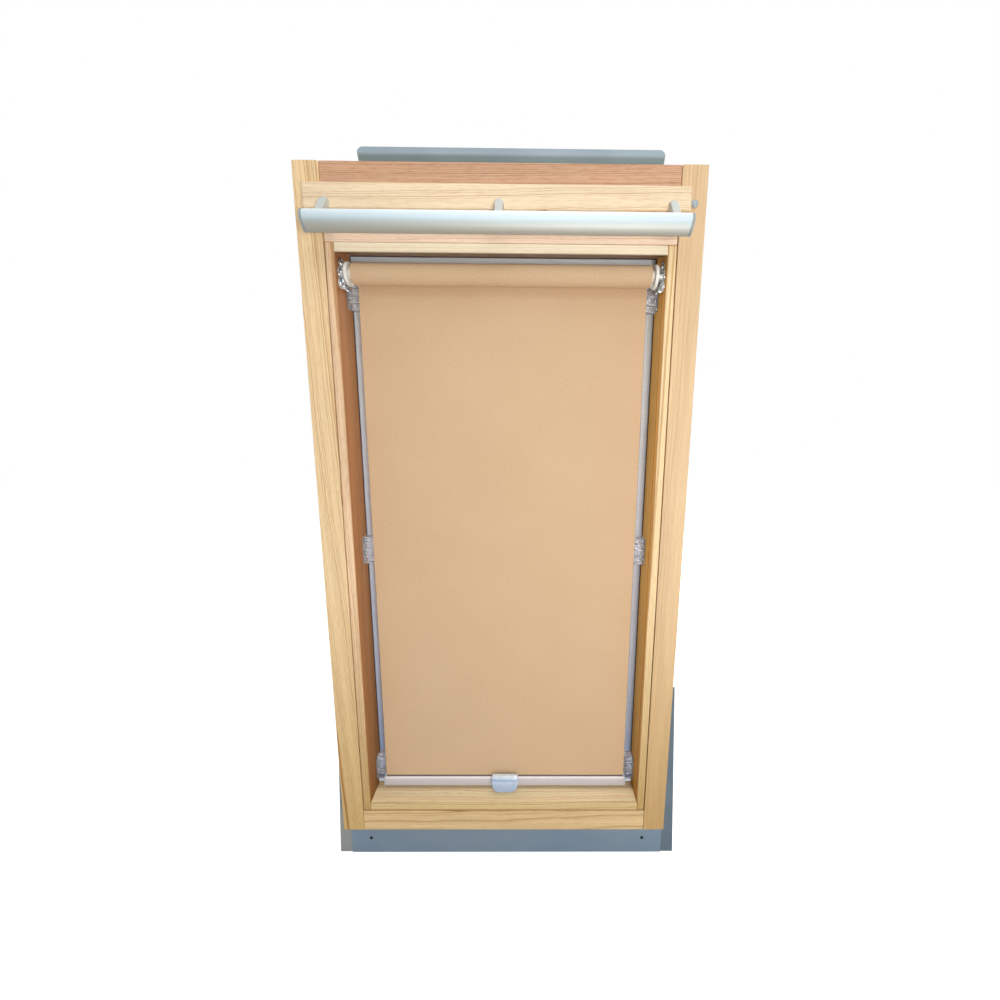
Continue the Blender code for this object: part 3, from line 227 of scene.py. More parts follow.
# %% Hang the lamps
def add_lamp(name, place, target, size, watts):
    """A square area lamp that faces a target."""
    lamp = bpy.data.objects.new(name, bpy.data.lights.new(name, "AREA"))
    bpy.context.scene.collection.objects.link(lamp)
    lamp.data.size = size
    lamp.data.energy = watts
    lamp.location = place
    lamp.rotation_euler = (Vector(target) - Vector(place)).to_track_quat("-Z", "Y").to_euler()


add_lamp("key lamp", (0.31, -1.05, 0.58), (0, 0, 0.60), 0.22, 5.7)
add_lamp("upper lamp", (0.20, -1.30, 1.95), (0, 0, 0.8), 1.3, 10.5)
add_lamp("ceiling lamp", (0.10, 0.30, 2.20), (0, 0, 0.9), 1.2, 6)
add_lamp("back lamp", (0.3, 2.2, 2.0), (0, 0, 0.5), 1.6, 22)

# %% Lay the floor
FLOOR_GAP = 0.0005
FLOOR_GLOW = 0.72
bpy.ops.object.select_all(action="DESELECT")
bpy.ops.mesh.primitive_grid_add(size=12, location=(0, 0, cad_box[0].z - FLOOR_GAP))
floor = bpy.context.object
floor.name = "floor"
floor_paint, floor_shader = new_finish(
    "matt white floor paint", Roughness=0.9, Emission_Color=WHITE
)
# The noise runs once over the floor's 12 m, so its cells are 130 mm across.
speck = add_node(floor_paint, "TexNoise", {"Scale": 90.0, "Detail": 3.0})
tone = add_node(floor_paint, "ValToRGB", {"Fac": speck.outputs["Fac"]})
fill_ramp(tone, [(0.0, "#f1f1ef"), (1.0, "#f6f6f4")])
floor_seen = either_ray(floor_paint, "Is Camera Ray", "Is Transmission Ray")
glow = add_node(floor_paint, "Math", {0: floor_seen, 1: FLOOR_GLOW}, operation="MULTIPLY")
feed(floor_paint, floor_shader, Base_Color=tone.outputs["Color"],
     Emission_Strength=glow.outputs[0])
floor.data.materials.append(floor_paint)
print("floor at", round(floor.location.z, 4))

# %% [markdown]
# ## Lacquered pine
#
# The frame, sash and flap are planed pine under clear satin lacquer. A trunk is a bundle of
# rings round its pith, and a board is a slice of it: cut near the pith it shows arches, far
# from it straight lines. So the grain here is the distance from a pith line that runs along
# the board, a little aslant, counted in years. No two years are alike, so a slow noise makes
# some rings wide and some narrow, and another makes some of their dark edges faint. Pine's
# rings are 2 to 5 mm wide: pale, soft early wood, then a thin darker line of late wood.

# %% A function for a board's year rings
def year_rings(material, way, drift, colours, ring_mm, sway):
    """The colour of a board's rings. way is the place as seen from the pith line, drift a noise
    that bends the rings by up to sway, and colours are early wood, its edge and late wood."""
    pale, ring, late = colours
    bend = add_node(
        material, "VectorMath", {0: drift.outputs["Color"], 1: (0.5, 0.5, 0.5)},
        operation="SUBTRACT",
    )
    bent = add_node(
        material, "VectorMath", {0: bend.outputs[0], 1: (sway, sway, 0.0), 2: way},
        operation="MULTIPLY_ADD",
    )
    flat = add_node(
        material, "VectorMath", {0: bent.outputs[0], 1: (1.0, 1.0, 0.0)}, operation="MULTIPLY"
    )
    reach = add_node(material, "VectorMath", {0: flat.outputs[0]}, operation="LENGTH")
    years = add_node(
        material, "Math", {0: reach.outputs["Value"], 1: 1000.0 / ring_mm}, operation="MULTIPLY"
    )
    weather = add_node(
        material, "TexNoise", {"W": years.outputs[0], "Scale": 0.45, "Detail": 1.0},
        noise_dimensions="1D",
    )
    grown = add_node(
        material, "Math", {0: weather.outputs["Fac"], 1: 2.6, 2: years.outputs[0]},
        operation="MULTIPLY_ADD",
    )
    season = add_node(material, "Math", {0: grown.outputs[0]}, operation="FRACT")
    ramp = add_node(material, "ValToRGB", {"Fac": season.outputs[0]})
    fill_ramp(ramp, [(0.0, pale), (0.40, pale), (0.74, ring), (0.86, late), (0.94, late),
                     (1.0, pale)])
    vigour = add_node(
        material, "TexNoise", {"W": grown.outputs[0], "Scale": 0.8, "Detail": 2.0},
        noise_dimensions="1D",
    )
    faint = add_node(
        material, "MapRange",
        {"Value": vigour.outputs["Fac"], "From Min": 0.38, "From Max": 0.62, "To Min": 0.15,
         "To Max": 1.0},
    )
    return add_node(
        material, "Mix",
        {0: faint.outputs["Result"], 6: linear(pale), 7: ramp.outputs["Color"]},
        data_type="RGBA",
    ).outputs[2]


print("rings ready")

# %% [markdown]
# ### Fibres, pores and tints
#
# Fine fibres along the board, slow changes of tone and small dark pores go over the rings.
# They are noises with long, narrow cells, given below as cells per metre across and along the
# grain. The drift that bends the rings has cells of 100 by 400 mm, the tones 17 by 330 mm,
# the fibres 1.4 by 83 mm and the pores 0.8 by 14 mm. Real fibres are finer still, but
# wouldn't show. Light and shade are painted on as tints: shade on the inner faces, towards
# the foot of the window, and under the blind's rail as the rail's painted shadow.

# %% A function for a whole board
GRAIN_NOISES = {  # cells per metre across the grain and along it, and their detail
    "drift": (10.0, 2.4, 4.0),
    "tones": (60.0, 3.0, 2.0),
    "fibres": (700.0, 12.0, 2.0),
    "pores": (1300.0, 70.0, 1.0),
}
PORE = "#c79a72"


def pine(name, along, pith, slant, colours, ring_mm=3.0, sway=0.010, streak=0.5, fleck=0.2,
         tints=()):
    """Lacquered pine. along is the grain's direction and pith a point on the trunk's middle
    line. streak and fleck are the strength of fibres and pores. Each of the tints is (axis,
    colour, from, to): it is laid on gradually between two levels of one axis."""
    material, shader = new_finish(name, Roughness=0.55, IOR=1.5, Specular_IOR_Level=0.2)
    turns = {"X": (0, math.pi / 2, 0), "Z": (0, 0, 0)}[along]
    place = add_node(material, "TexCoord").outputs["Object"]
    centred = add_node(material, "VectorMath", {0: place, 1: pith}, operation="SUBTRACT")
    way = add_node(
        material, "Mapping",
        {"Vector": centred.outputs[0], "Rotation": [a + b for a, b in zip(turns, slant)]},
    ).outputs[0]
    noises = {}
    for kind, (across, lengthwise, detail) in GRAIN_NOISES.items():
        cells = add_node(
            material, "Mapping", {"Vector": way, "Scale": (across, across, lengthwise)}
        )
        noises[kind] = add_node(
            material, "TexNoise", {"Vector": cells.outputs[0], "Scale": 1.0, "Detail": detail}
        )
    rings = year_rings(material, way, noises["drift"], colours, ring_mm, sway)
    fibres = noises["fibres"].outputs["Fac"]
    shades = add_node(
        material, "Math", {0: fibres, 1: noises["tones"].outputs["Fac"]}, operation="ADD"
    )
    level = add_node(
        material, "MapRange",
        {"Value": shades.outputs[0], "From Min": 0.7, "From Max": 1.3,
         "To Min": 1.0 - 0.22 * streak, "To Max": 1.0 + 0.10 * streak},
    )
    streaked = add_node(
        material, "VectorMath", {0: rings, "Scale": level.outputs["Result"]}, operation="SCALE"
    )
    pores = add_node(
        material, "MapRange",
        {"Value": noises["pores"].outputs["Fac"], "From Min": 0.50, "From Max": 0.66,
         "To Min": 0.0, "To Max": fleck},
    )
    layers = [(pores.outputs["Result"], PORE)]
    parts = add_node(material, "SeparateXYZ", {0: place})
    # The tints are painted light and shade, laid on by place.
    for axis, tint, start, end in tints:
        depth = add_node(
            material, "MapRange",
            {"Value": parts.outputs[axis], "From Min": start, "From Max": end},
        )
        layers.append((depth.outputs["Result"], tint))
    colour = streaked.outputs[0]
    for share, tint in layers:
        colour = add_node(
            material, "Mix", {0: share, 6: colour, 7: linear(tint)}, data_type="RGBA",
            blend_type="MULTIPLY",
        ).outputs[2]
    relief = add_node(material, "Bump", {"Height": fibres, "Strength": 0.10, "Distance": 0.0004})
    feed(material, shader, Base_Color=colour, Normal=relief.outputs["Normal"])
    return material


print("noises in a board:", list(GRAIN_NOISES))

# %% [markdown]
# ### One grain for each board
#
# The jambs and stiles have their grain upright and the cross members have it level. The head
# of the frame is a redder, darker board than the rest. Every board gets its own pith line,
# because no two boards in a frame come from the same place. The tables give each board's
# node, name, direction of grain, pith point, slant of the pith line and three colours.

# %% Dress the frame's boards
# Painted shade: the jambs darken towards the foot of the window, where less light falls.
FOOT_SHADE = ("Z", "#e1d8bc", 0.45, 0.02)
FRAME_BOARDS = (
    ("jamb_left", "pine left jamb", "Z", (-0.10, -0.005, 0.3), (0.004, 0.045, 0),
     ("#fcdeaf", "#f4ce9b", "#c6945e"), dict(ring_mm=5.2, sway=0.022, tints=[FOOT_SHADE])),
    ("jamb_right", "pine right jamb", "Z", (0.33, 0.10, 0.2), (0.002, -0.012, 0),
     ("#ebca9f", "#e6c195", "#d8ae82"),
     dict(ring_mm=5.0, sway=0.012, streak=0.6, fleck=0.1, tints=[FOOT_SHADE])),
    ("head_rail", "red pine head", "X", (0.1, 0.06, 0.90), (0.0, 0.006, 0.006),
     ("#deb392", "#d2a281", "#a8784f"), dict(ring_mm=2.2, sway=0.008, streak=0.6, fleck=0.3)),
    ("foot_rail", "pine foot", "X", (-0.10, -0.014, 0.010), (0.0, 0.016, 0.055),
     ("#ebcb98", "#dcb781", "#ab8247"), dict(ring_mm=4.6, sway=0.022, streak=0.7)),
    ("flap_board", "pine flap", "X", (-0.2, 0.01, 1.09), (0.0, 0.022, 0.002),
     ("#ffe9c6", "#f9d9af", "#d9aa74"), dict(ring_mm=4.4, sway=0.020)),
)
for node, board, *cut, extras in FRAME_BOARDS:
    dress(pine(f"lacquered {board}", *cut, **extras), node)
print("frame boards dressed:", len(FRAME_BOARDS))

# %% Dress the sash's boards
# Painted light and shade: the inner faces and the stiles' feet are tinted for how they are lit.
INNER_FACE_SHADE = (-0.0412, -0.0375)
SASH_BOARDS = (
    ("sash_top_rail", "pine sash head", "X", (0.0, 0.06, 0.86), (0.0, 0.004, 0.004),
     ("#ffe2c7", "#fad6b9", "#e0b28e"), dict(ring_mm=3.2, sway=0.014)),
    ("sash_head_lining", "pine lining", "X", (0.0, 0.02, 0.84), (0.0, 0.002, 0.003),
     ("#fff2d6", "#ffeac8", "#f0d0a4"),
     dict(ring_mm=3.6, streak=0.3, fleck=0.1, tints=[("Y", "#a48468", *INNER_FACE_SHADE)])),
    ("sash_stile_left", "pine left stile", "Z", (-0.30, 0.05, 0.4), (0.003, 0.010, 0),
     ("#ffdcb5", "#f6cfa4", "#d8a675"),
     dict(ring_mm=3.4, streak=0.9, fleck=0.30,
          tints=[("Y", "#c09d7c", *INNER_FACE_SHADE), ("Z", "#cfca9f", 0.45, 0.02)])),
    ("sash_stile_right", "pine right stile", "Z", (0.31, 0.06, 0.4), (0.003, -0.008, 0),
     ("#fde2b2", "#f6d09a", "#cd9a5e"),
     dict(ring_mm=3.4, streak=0.5, fleck=0.2,
          tints=[("Y", "#ffdf94", *INNER_FACE_SHADE), ("Z", "#c9bc9a", 0.45, 0.02)])),
    # Painted shade: the sill's front face is darkened, and its top under the rail as its shadow.
    ("sash_sill", "pine sill", "X", (0.0, 0.03, 0.115), (0.006, 0.010, 0.0),
     ("#ffedc2", "#ffe0b0", "#dcab78"),
     dict(ring_mm=4.2, sway=0.022, streak=0.5,
          tints=[("Y", "#e2dac6", -0.0375, -0.0412), ("Y", "#ccc2bc", -0.0150, -0.0090)])),
)
for node, board, *cut, extras in SASH_BOARDS:
    dress(pine(f"lacquered {board}", *cut, **extras), node)
print("sash boards dressed:", len(SASH_BOARDS))

# %% [markdown]
# ## Coated, cast and drawn metal
#
# The weather side is aluminium sheet with a matt grey polyester coat, which has a very fine
# orange peel. The arms of the pull bar are zinc castings with the same kind of paint. The bar
# itself is extruded and satin anodised: drawn lines run along it, and its gloss is wide and
# soft. One function gives all of these, and the plastics after them, their two close tones
# and their relief.

# %% Functions for coats and mouldings
def tone_and_relief(material, shader, clouds, stops, bumps, strength, depth, levels=None):
    """Feeds a finish its colour from one noise and its relief from another. The colour is
    tinted by height if levels are given."""
    tone = add_node(material, "ValToRGB", {"Fac": clouds.outputs["Fac"]})
    fill_ramp(tone, stops)
    colour = tone.outputs["Color"]
    if levels:
        colour = tint_by_height(material, colour, levels)
    relief = add_node(
        material, "Bump",
        {"Height": bumps.outputs["Fac"], "Strength": strength, "Distance": depth},
    )
    feed(material, shader, Base_Color=colour, Normal=relief.outputs["Normal"])
    return material


def mottled(name, low, high, clouds, bumps, strength, depth, levels=None, **plain):
    """Two close tones in soft clouds, under fine bumps. clouds are (cells per metre, detail),
    and bumps is a number per metre."""
    material, shader = new_finish(name, **plain)
    place = add_node(material, "TexCoord").outputs["Object"]
    cloud, bump = [
        add_node(material, "TexNoise", {"Vector": place, "Scale": scale, "Detail": detail})
        for scale, detail in (clouds, (bumps, 1.0))
    ]
    stops = [(0.3, low), (0.7, high)]
    return tone_and_relief(material, shader, cloud, stops, bump, strength, depth, levels)


def coated_sheet(name, low, high, roughness=0.5, levels=None):
    """Polyester coated sheet. Its clouds are 70 mm wide, and the orange peel's bumps are 1.4 mm
    wide, which is also what the picture can still show."""
    return mottled(name, low, high, (14.0, 3.0), 700.0, 0.08, 0.0003, levels,
                   Roughness=roughness, IOR=1.5)


print("coats and mouldings ready")

# %% Coated aluminium sheet
# Painted shade: the hood is darkened below the fold of its upper band.
hood_painted_shade = [(1.030, "#ccd6cb"), (1.0775, "#d2dcd3"), (1.0800, "#ffffff"), (1.089, "#ffffff")]
dress(coated_sheet("grey coated aluminium hood", "#9caebb", "#a9bcc8", levels=hood_painted_shade),
      "top_hood")
# The apron, strips and covers are one grey coat; their different tones are painted light and
# shade.
dress(coated_sheet("grey coated aluminium apron", "#8298ae", "#8b9eb0"), "apron")
dress(coated_sheet("grey coated aluminium left strip", "#9b9f9e", "#a2a6a4"),
      "apron_strip_left")
dress(coated_sheet("grey coated aluminium right strip", "#687a88", "#73838f"),
      "apron_strip_right")
dress(coated_sheet("grey coated aluminium covers", "#6f7c84", "#7c8990"), "side_cover_left",
      "side_cover_right", "foot_cover", "sash_cover_left", "sash_cover_right",
      "sash_cover_foot", "sash_cover_head")
arm_finish = coated_sheet("grey painted zinc casting", "#c9cdc9", "#d3d7d2", 0.42)
print("coated sheets ready")


# %% Anodised and painted metal
def drawn_metal(name, dark, light, roughness, metallic=1.0, levels=None):
    """Extruded aluminium with faint die lines along X, 0.7 mm apart and 0.7 m long."""
    material, shader = new_finish(name, Metallic=metallic, Roughness=roughness)
    place = add_node(material, "TexCoord").outputs["Object"]
    stretched = add_node(
        material, "Mapping", {"Vector": place, "Scale": (1.5, 1400.0, 1400.0)}
    )
    lines = add_node(
        material, "TexNoise", {"Vector": stretched.outputs[0], "Scale": 1.0, "Detail": 2.0}
    )
    stops = [(0.35, dark), (0.65, light)]
    return tone_and_relief(material, shader, lines, stops, lines, 0.05, 0.0002, levels)


bar_foot, bar_head = (corner.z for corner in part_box("control_bar"))
# Painted reflection and shade: the bar is whitest at its top and beige-grey towards its foot.
bar_painted_reflection = [(bar_foot, "#d9d3c9"), (bar_foot + 0.006, "#ddd8d0"),
             (bar_foot + 0.015, "#e2eaf0"), (bar_head, "#f6f7fb")]
bar_finish = drawn_metal(
    "satin anodised aluminium bar", "#e2e6e6", "#e9edec", 0.62, levels=bar_painted_reflection
)
dress(drawn_metal("mill finish aluminium tube", "#b9bcbd", "#c8cbcc", 0.3), "roller_tube")
# Painted shade: the spacer behind the pane is made bluer and darker towards the foot of the
# window.
spacer_painted_shade = [(0.05, "#93abcb"), (0.11, "#bbcff3"), (0.25, "#dfe9ff"), (0.50, "#f0f3ff"),
               (0.95, "#f7faf9")]
dress(drawn_metal("lilac grey glazing spacer", "#f0eef4", "#fbf9fd", 0.5, 0.0, spacer_painted_shade),
      "pane_spacer")
# Painted light and shade: the rail's top stays white, its front is greyer and darkest at its
# foot.
rail_painted_light = [(0.058, "#cbc8c8"), (0.066, "#d6d3d8"), (0.0728, "#e0dbe0"),
              (0.0733, "#ffffff"), (0.0746, "#ffffff")]
dress(drawn_metal("lilac coated aluminium rail", "#f6f5f7", "#fefdff", 0.38, 0.0, rail_painted_light),
      "bottom_rail")
print("anodised and painted metal ready")

# %% [markdown]
# ## Plated steel
#
# The blind's brackets and the window's pivots, hinge and latch are pressed steel, zinc
# plated, with the faint cloudy flowers of the bath. A Voronoi pattern gives flowers 7 mm
# across, which change the tone a little and the gloss more.

# %% Plated steel
zinc, zinc_shader = new_finish("zinc plated steel", Metallic=1.0)
flowers = add_node(
    zinc, "TexVoronoi",
    {"Vector": add_node(zinc, "TexCoord").outputs["Object"], "Scale": 150.0},
)
zinc_tone = add_node(zinc, "ValToRGB", {"Fac": flowers.outputs["Distance"]})
fill_ramp(zinc_tone, [(0.0, "#dfe2e5"), (1.0, "#eff1f3")])
zinc_gloss = add_node(
    zinc, "MapRange", {"Value": flowers.outputs["Distance"], "To Min": 0.17, "To Max": 0.24}
)
feed(zinc, zinc_shader, Base_Color=zinc_tone.outputs["Color"],
     Roughness=zinc_gloss.outputs["Result"])
dress(zinc, "strike_plate", "frame_pivot_left", "frame_pivot_right", "sash_pivot_left",
      "sash_pivot_right", "sash_hinge_leaf", "flap_hinge_strap", "latch_bolt", "spring_axle",
      "roller_spring")
print("zinc ready")

# %% [markdown]
# ## Glass and plastics
#
# The panes are clear float glass, the catch claws clear polycarbonate, and the guide discs,
# caps and handle moulded acetal and ABS. Light that has passed through a pane is hard for the
# renderer to find, so what lies behind glass comes out too dark. The pane therefore counts as
# open for shadow and soft light rays, by its alpha, and stays real glass, with its
# reflections and its bend, for the eye.

# %% Clear float glass
def let_light_through(material):
    """Opens a clear material to shadow rays and to soft light."""
    soft = either_ray(material, "Is Shadow Ray", "Is Diffuse Ray")
    solid_part = add_node(material, "Math", {0: 1.0, 1: soft}, operation="SUBTRACT")
    feed(material, material.node_tree.nodes["Principled BSDF"], Alpha=solid_part.outputs[0])


glass, glass_shader = new_finish("clear float glass", Base_Color=linear("#eef5f5"),
                                 Roughness=0.0, IOR=1.52, Transmission_Weight=1.0)
# Float glass has slow waves, here 170 mm long, that only its reflections show.
ripple = add_node(
    glass, "TexNoise",
    {"Vector": add_node(glass, "TexCoord").outputs["Object"], "Scale": 6.0, "Detail": 1.0},
)
ripple_relief = add_node(
    glass, "Bump", {"Height": ripple.outputs["Fac"], "Strength": 0.02, "Distance": 0.001}
)
feed(glass, glass_shader, Normal=ripple_relief.outputs["Normal"])
let_light_through(glass)
dress(glass, "inner_pane", "outer_pane")
print("glass ready")


# %% Moulded plastics and rubber
def moulded(name, low, high, roughness=0.35, levels=None, **plain):
    """Moulded plastic with a flow mottle 8 mm wide and a texture of 0.4 mm."""
    return mottled(name, low, high, (120.0, 2.0), 2600.0, 0.06, 0.0001, levels,
                   Roughness=roughness, **plain)


# Painted light and shade: bands up the handle give its lit top, a shaded groove and a pale foot
# rim.
handle_painted_shading = [(0.0572, "#e9edf0"), (0.0590, "#dfe5ee"), (0.0602, "#b3c1d6"),
                (0.0690, "#bfcfe3"), (0.0722, "#d3dcf0"), (0.0742, "#d3dcf0"),
                (0.0752, "#b4cfe6"), (0.0776, "#b0c3df"), (0.0790, "#dfe9f6"),
                (0.0830, "#f0f6f8")]
disc_plastic = moulded("white acetal", "#f6f3ea", "#fdfbf5", 0.3, IOR=1.48)
handle_plastic = moulded("pale blue abs", "#eceff4", "#f8fafd", 0.28, handle_painted_shading, IOR=1.53)
button_plastic = moulded("blue grey abs", "#aab8c2", "#b6c3cb", 0.35)
clear_plastic = moulded(
    "clear polycarbonate", "#f6f4fa", "#fdfcff", 0.05, IOR=1.58, Transmission_Weight=0.93
)
let_light_through(clear_plastic)
rubber = moulded("dark brown epdm rubber", "#4b3a3e", "#554347", 0.55)
black_steel = moulded("black phosphated steel", "#1d1f22", "#2a2c30", 0.4, Metallic=0.6)
dress(moulded("grey abs end cap", "#98a1a3", "#a4acad", 0.4), "bar_cap_left", "bar_cap_right")
dress(moulded("pale blue acetal", "#bccbdb", "#cdd9e5", 0.3, IOR=1.48), "rail_cap_left",
      "rail_cap_right")
dress(moulded("dark filter fleece", "#2a2b2b", "#3c3d3d", 0.95), "vent_filter")
print("plastics ready")

# %% [markdown]
# ## Blackout cloth
#
# The blind is a plain weave of polyester thread with a coated back, dyed sand. Its threads
# are about 0.4 mm apart, too fine for a picture in which a pixel is more than a millimetre,
# so the weave is drawn at 1.2 mm and kept faint. It reads the cloth's own UV map, counted in
# metres, so that the weave moves with the cloth when the blind is drawn.

# %% The cloth's weave
THREAD_GAP = 0.0012
WAVE_LENGTH = 0.31416  # the length of one wave of a Wave texture at a Scale of 1
cloth_finish, cloth_shader = new_finish(
    "woven polyester blackout cloth", Roughness=0.85, IOR=1.45, Sheen_Weight=0.10,
    Sheen_Roughness=0.5,
)
cloth_uv = add_node(cloth_finish, "UVMap", uv_map="metres").outputs["UV"]
warp, weft = [
    add_node(
        cloth_finish, "TexWave",
        {"Vector": cloth_uv, "Scale": WAVE_LENGTH / THREAD_GAP, "Distortion": 0.6,
         "Detail": 1.0, "Detail Scale": 3.0},
        wave_type="BANDS", bands_direction=axis, wave_profile="SIN",
    )
    for axis in ("X", "Y")
]
weave = add_node(
    cloth_finish, "Math", {0: warp.outputs["Fac"], 1: weft.outputs["Fac"]}, operation="MULTIPLY"
)
print("threads", 1000 * THREAD_GAP, "mm apart")

# %% The cloth's tones
# Slubs are about 2.4 mm long and blotches of the dye 110 mm.
slubs, blotches = [
    add_node(cloth_finish, "TexNoise", {"Vector": cloth_uv, "Scale": scale, "Detail": 3.0})
    for scale in (420.0, 9.0)
]
mixed = add_node(
    cloth_finish, "Math", {0: blotches.outputs["Fac"], 1: 0.4, 2: slubs.outputs["Fac"]},
    operation="MULTIPLY_ADD",
)
cloth_level = add_node(
    cloth_finish, "MapRange", {"Value": mixed.outputs[0], "From Min": 0.35, "From Max": 1.05}
)
cloth_tone = add_node(cloth_finish, "ValToRGB", {"Fac": cloth_level.outputs["Result"]})
fill_ramp(cloth_tone, [(0.0, "#d0ae87"), (1.0, "#e1c19c")])
cloth_relief = add_node(
    cloth_finish, "Bump", {"Height": weave.outputs[0], "Strength": 0.25, "Distance": 0.0002}
)
feed(cloth_finish, cloth_shader, Base_Color=cloth_tone.outputs["Color"],
     Normal=cloth_relief.outputs["Normal"])
print("cloth finish ready")

# %% [markdown]
# ## Ways of making a piece
#
# Most small parts of a blind are turned, pressed or cut from a profile. A few helpers do that
# as it is done by hand. Drawing starts from one point that is extruded again and again to
# trace a line; a turned part spins its half section round an axis; a profiled part closes the
# line, fills it and extrudes the face. The result is placed, its place is applied, and its
# sharp edges stay crisp while the round ones are shaded smooth. A part that repeats is made
# once, and each copy gets a mesh of its own with its place in it.

# %% Helpers for drawn, turned and profiled pieces
def draw_line(name, points):
    """A line of points, drawn by extruding one point. It leaves the object in edit mode."""
    bpy.ops.object.select_all(action="DESELECT")
    bpy.ops.mesh.primitive_plane_add(size=0.001)
    made = bpy.context.object
    made.name = name
    made.data.name = name
    bpy.ops.object.mode_set(mode="EDIT")
    bpy.ops.mesh.select_all(action="SELECT")
    bpy.ops.mesh.merge(type="CENTER")
    bpy.ops.mesh.select_all(action="SELECT")
    bpy.ops.transform.translate(value=points[0])
    for before, after in zip(points, points[1:]):
        step = Vector(after) - Vector(before)
        bpy.ops.mesh.extrude_vertices_move(TRANSFORM_OT_translate={"value": step})
    return made


def turned(name, section, place=(0, 0, 0), axis=(0, 0, 1), steps=48, smooth=30):
    """A turned piece: section is (radius, height) from foot to head, closed on the axis."""
    piece = draw_line(name, [(radius, 0, rise) for radius, rise in section])
    bpy.ops.mesh.select_all(action="SELECT")
    bpy.ops.mesh.spin(steps=steps, angle=2 * math.pi, center=(0, 0, 0), axis=(0, 0, 1))
    bpy.ops.mesh.select_all(action="SELECT")
    bpy.ops.mesh.remove_doubles(threshold=0.00001)
    bpy.ops.mesh.normals_make_consistent(inside=False)
    bpy.ops.object.mode_set(mode="OBJECT")
    turn = Vector(axis).to_track_quat("Z", "Y").to_matrix().to_4x4()
    piece.data.transform(Matrix.Translation(place) @ turn)
    bpy.ops.object.shade_smooth_by_angle(angle=math.radians(smooth))
    return piece


def apply_bevel(piece, width, segments=2, angle=32):
    """Rounds a piece's sharp edges."""
    rounding = piece.modifiers.new("rounding", "BEVEL")
    rounding.width = width
    rounding.segments = segments
    rounding.limit_method = "ANGLE"
    rounding.angle_limit = math.radians(angle)
    bpy.context.view_layer.objects.active = piece
    bpy.ops.object.modifier_apply(modifier=rounding.name)


def profiled(name, outline, start, end, bevel=0.0, segments=2, smooth=30):
    """A piece of one section along X: outline is (y, z), start and end are its ends."""
    piece = draw_line(name, [(start, y, z) for y, z in outline])
    bpy.ops.mesh.select_all(action="SELECT")
    bpy.ops.mesh.edge_face_add()
    bpy.ops.mesh.extrude_region_move(TRANSFORM_OT_translate={"value": (end - start, 0, 0)})
    bpy.ops.mesh.select_all(action="SELECT")
    bpy.ops.mesh.normals_make_consistent(inside=False)
    bpy.ops.object.mode_set(mode="OBJECT")
    if bevel:
        apply_bevel(piece, bevel, segments)
    bpy.ops.object.shade_smooth_by_angle(angle=math.radians(smooth))
    return piece


print("drawing helpers ready")


# %% Helpers for cutting, joining and copying
def cut_away(piece, cutter):
    """Takes a cutter's shape out of a piece, and the cutter out of the scene."""
    cut = piece.modifiers.new("cut", "BOOLEAN")
    cut.operation = "DIFFERENCE"
    cut.solver = "EXACT"
    cut.object = cutter
    bpy.context.view_layer.objects.active = piece
    bpy.ops.object.modifier_apply(modifier=cut.name)
    bpy.data.objects.remove(cutter, do_unlink=True)


def joined(piece, *others):
    """Joins pieces into one mesh."""
    bpy.ops.object.select_all(action="DESELECT")
    for other in (piece, *others):
        other.select_set(True)
    bpy.context.view_layer.objects.active = piece
    bpy.ops.object.join()
    return piece


def paint(piece, material, body):
    """Gives a new piece its finish and the body it moves with."""
    piece.data.materials.clear()
    piece.data.materials.append(material)
    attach(piece, body)
    return piece


def copied(source, name, matrix, body):
    """A copy with a mesh of its own, with its place in the mesh."""
    piece = source.copy()
    piece.data = source.data.copy()
    piece.name = name
    piece.data.name = name
    bpy.context.scene.collection.objects.link(piece)
    piece.data.transform(matrix)
    if matrix.determinant() < 0:
        piece.data.flip_normals()
    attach(piece, body)
    return piece


def arc(centre, radius, start, end, count):
    """Points (a, b) along an arc, with angles in degrees."""
    turns = [math.radians(start + (end - start) * i / count) for i in range(count + 1)]
    return [(centre[0] + radius * math.cos(t), centre[1] + radius * math.sin(t)) for t in turns]


MIRROR = Matrix.Scale(-1, 4, (1, 0, 0))
print("modelling helpers ready")

# %% [markdown]
# ## The hanging cloth
#
# A blackout cloth hangs straight between its roller and its rail, with only a trace of a wave
# in its middle. It starts as a plane of the cut size, gets enough subdivisions to take that
# wave, and a solidify modifier gives it its 0.4 mm.

# %% Helpers for cloth
CLOTH_THICKNESS = 0.0004


def map_in_metres(piece, place):
    """Fills a flat piece's UV map in metres: place turns a point into its (u, v)."""
    piece.data.uv_layers[0].name = "metres"
    for loop in piece.data.loops:
        point = piece.data.vertices[loop.vertex_index].co
        piece.data.uv_layers["metres"].data[loop.index].uv = place(point)


def thicken(piece, smooth):
    """Gives a flat cloth its thickness, half of it on each side."""
    thickness = piece.modifiers.new("thickness", "SOLIDIFY")
    thickness.thickness = CLOTH_THICKNESS
    thickness.offset = 0
    bpy.ops.object.modifier_apply(modifier=thickness.name)
    bpy.ops.object.shade_smooth_by_angle(angle=math.radians(smooth))


print("cloth is", 1000 * CLOTH_THICKNESS, "mm thick")

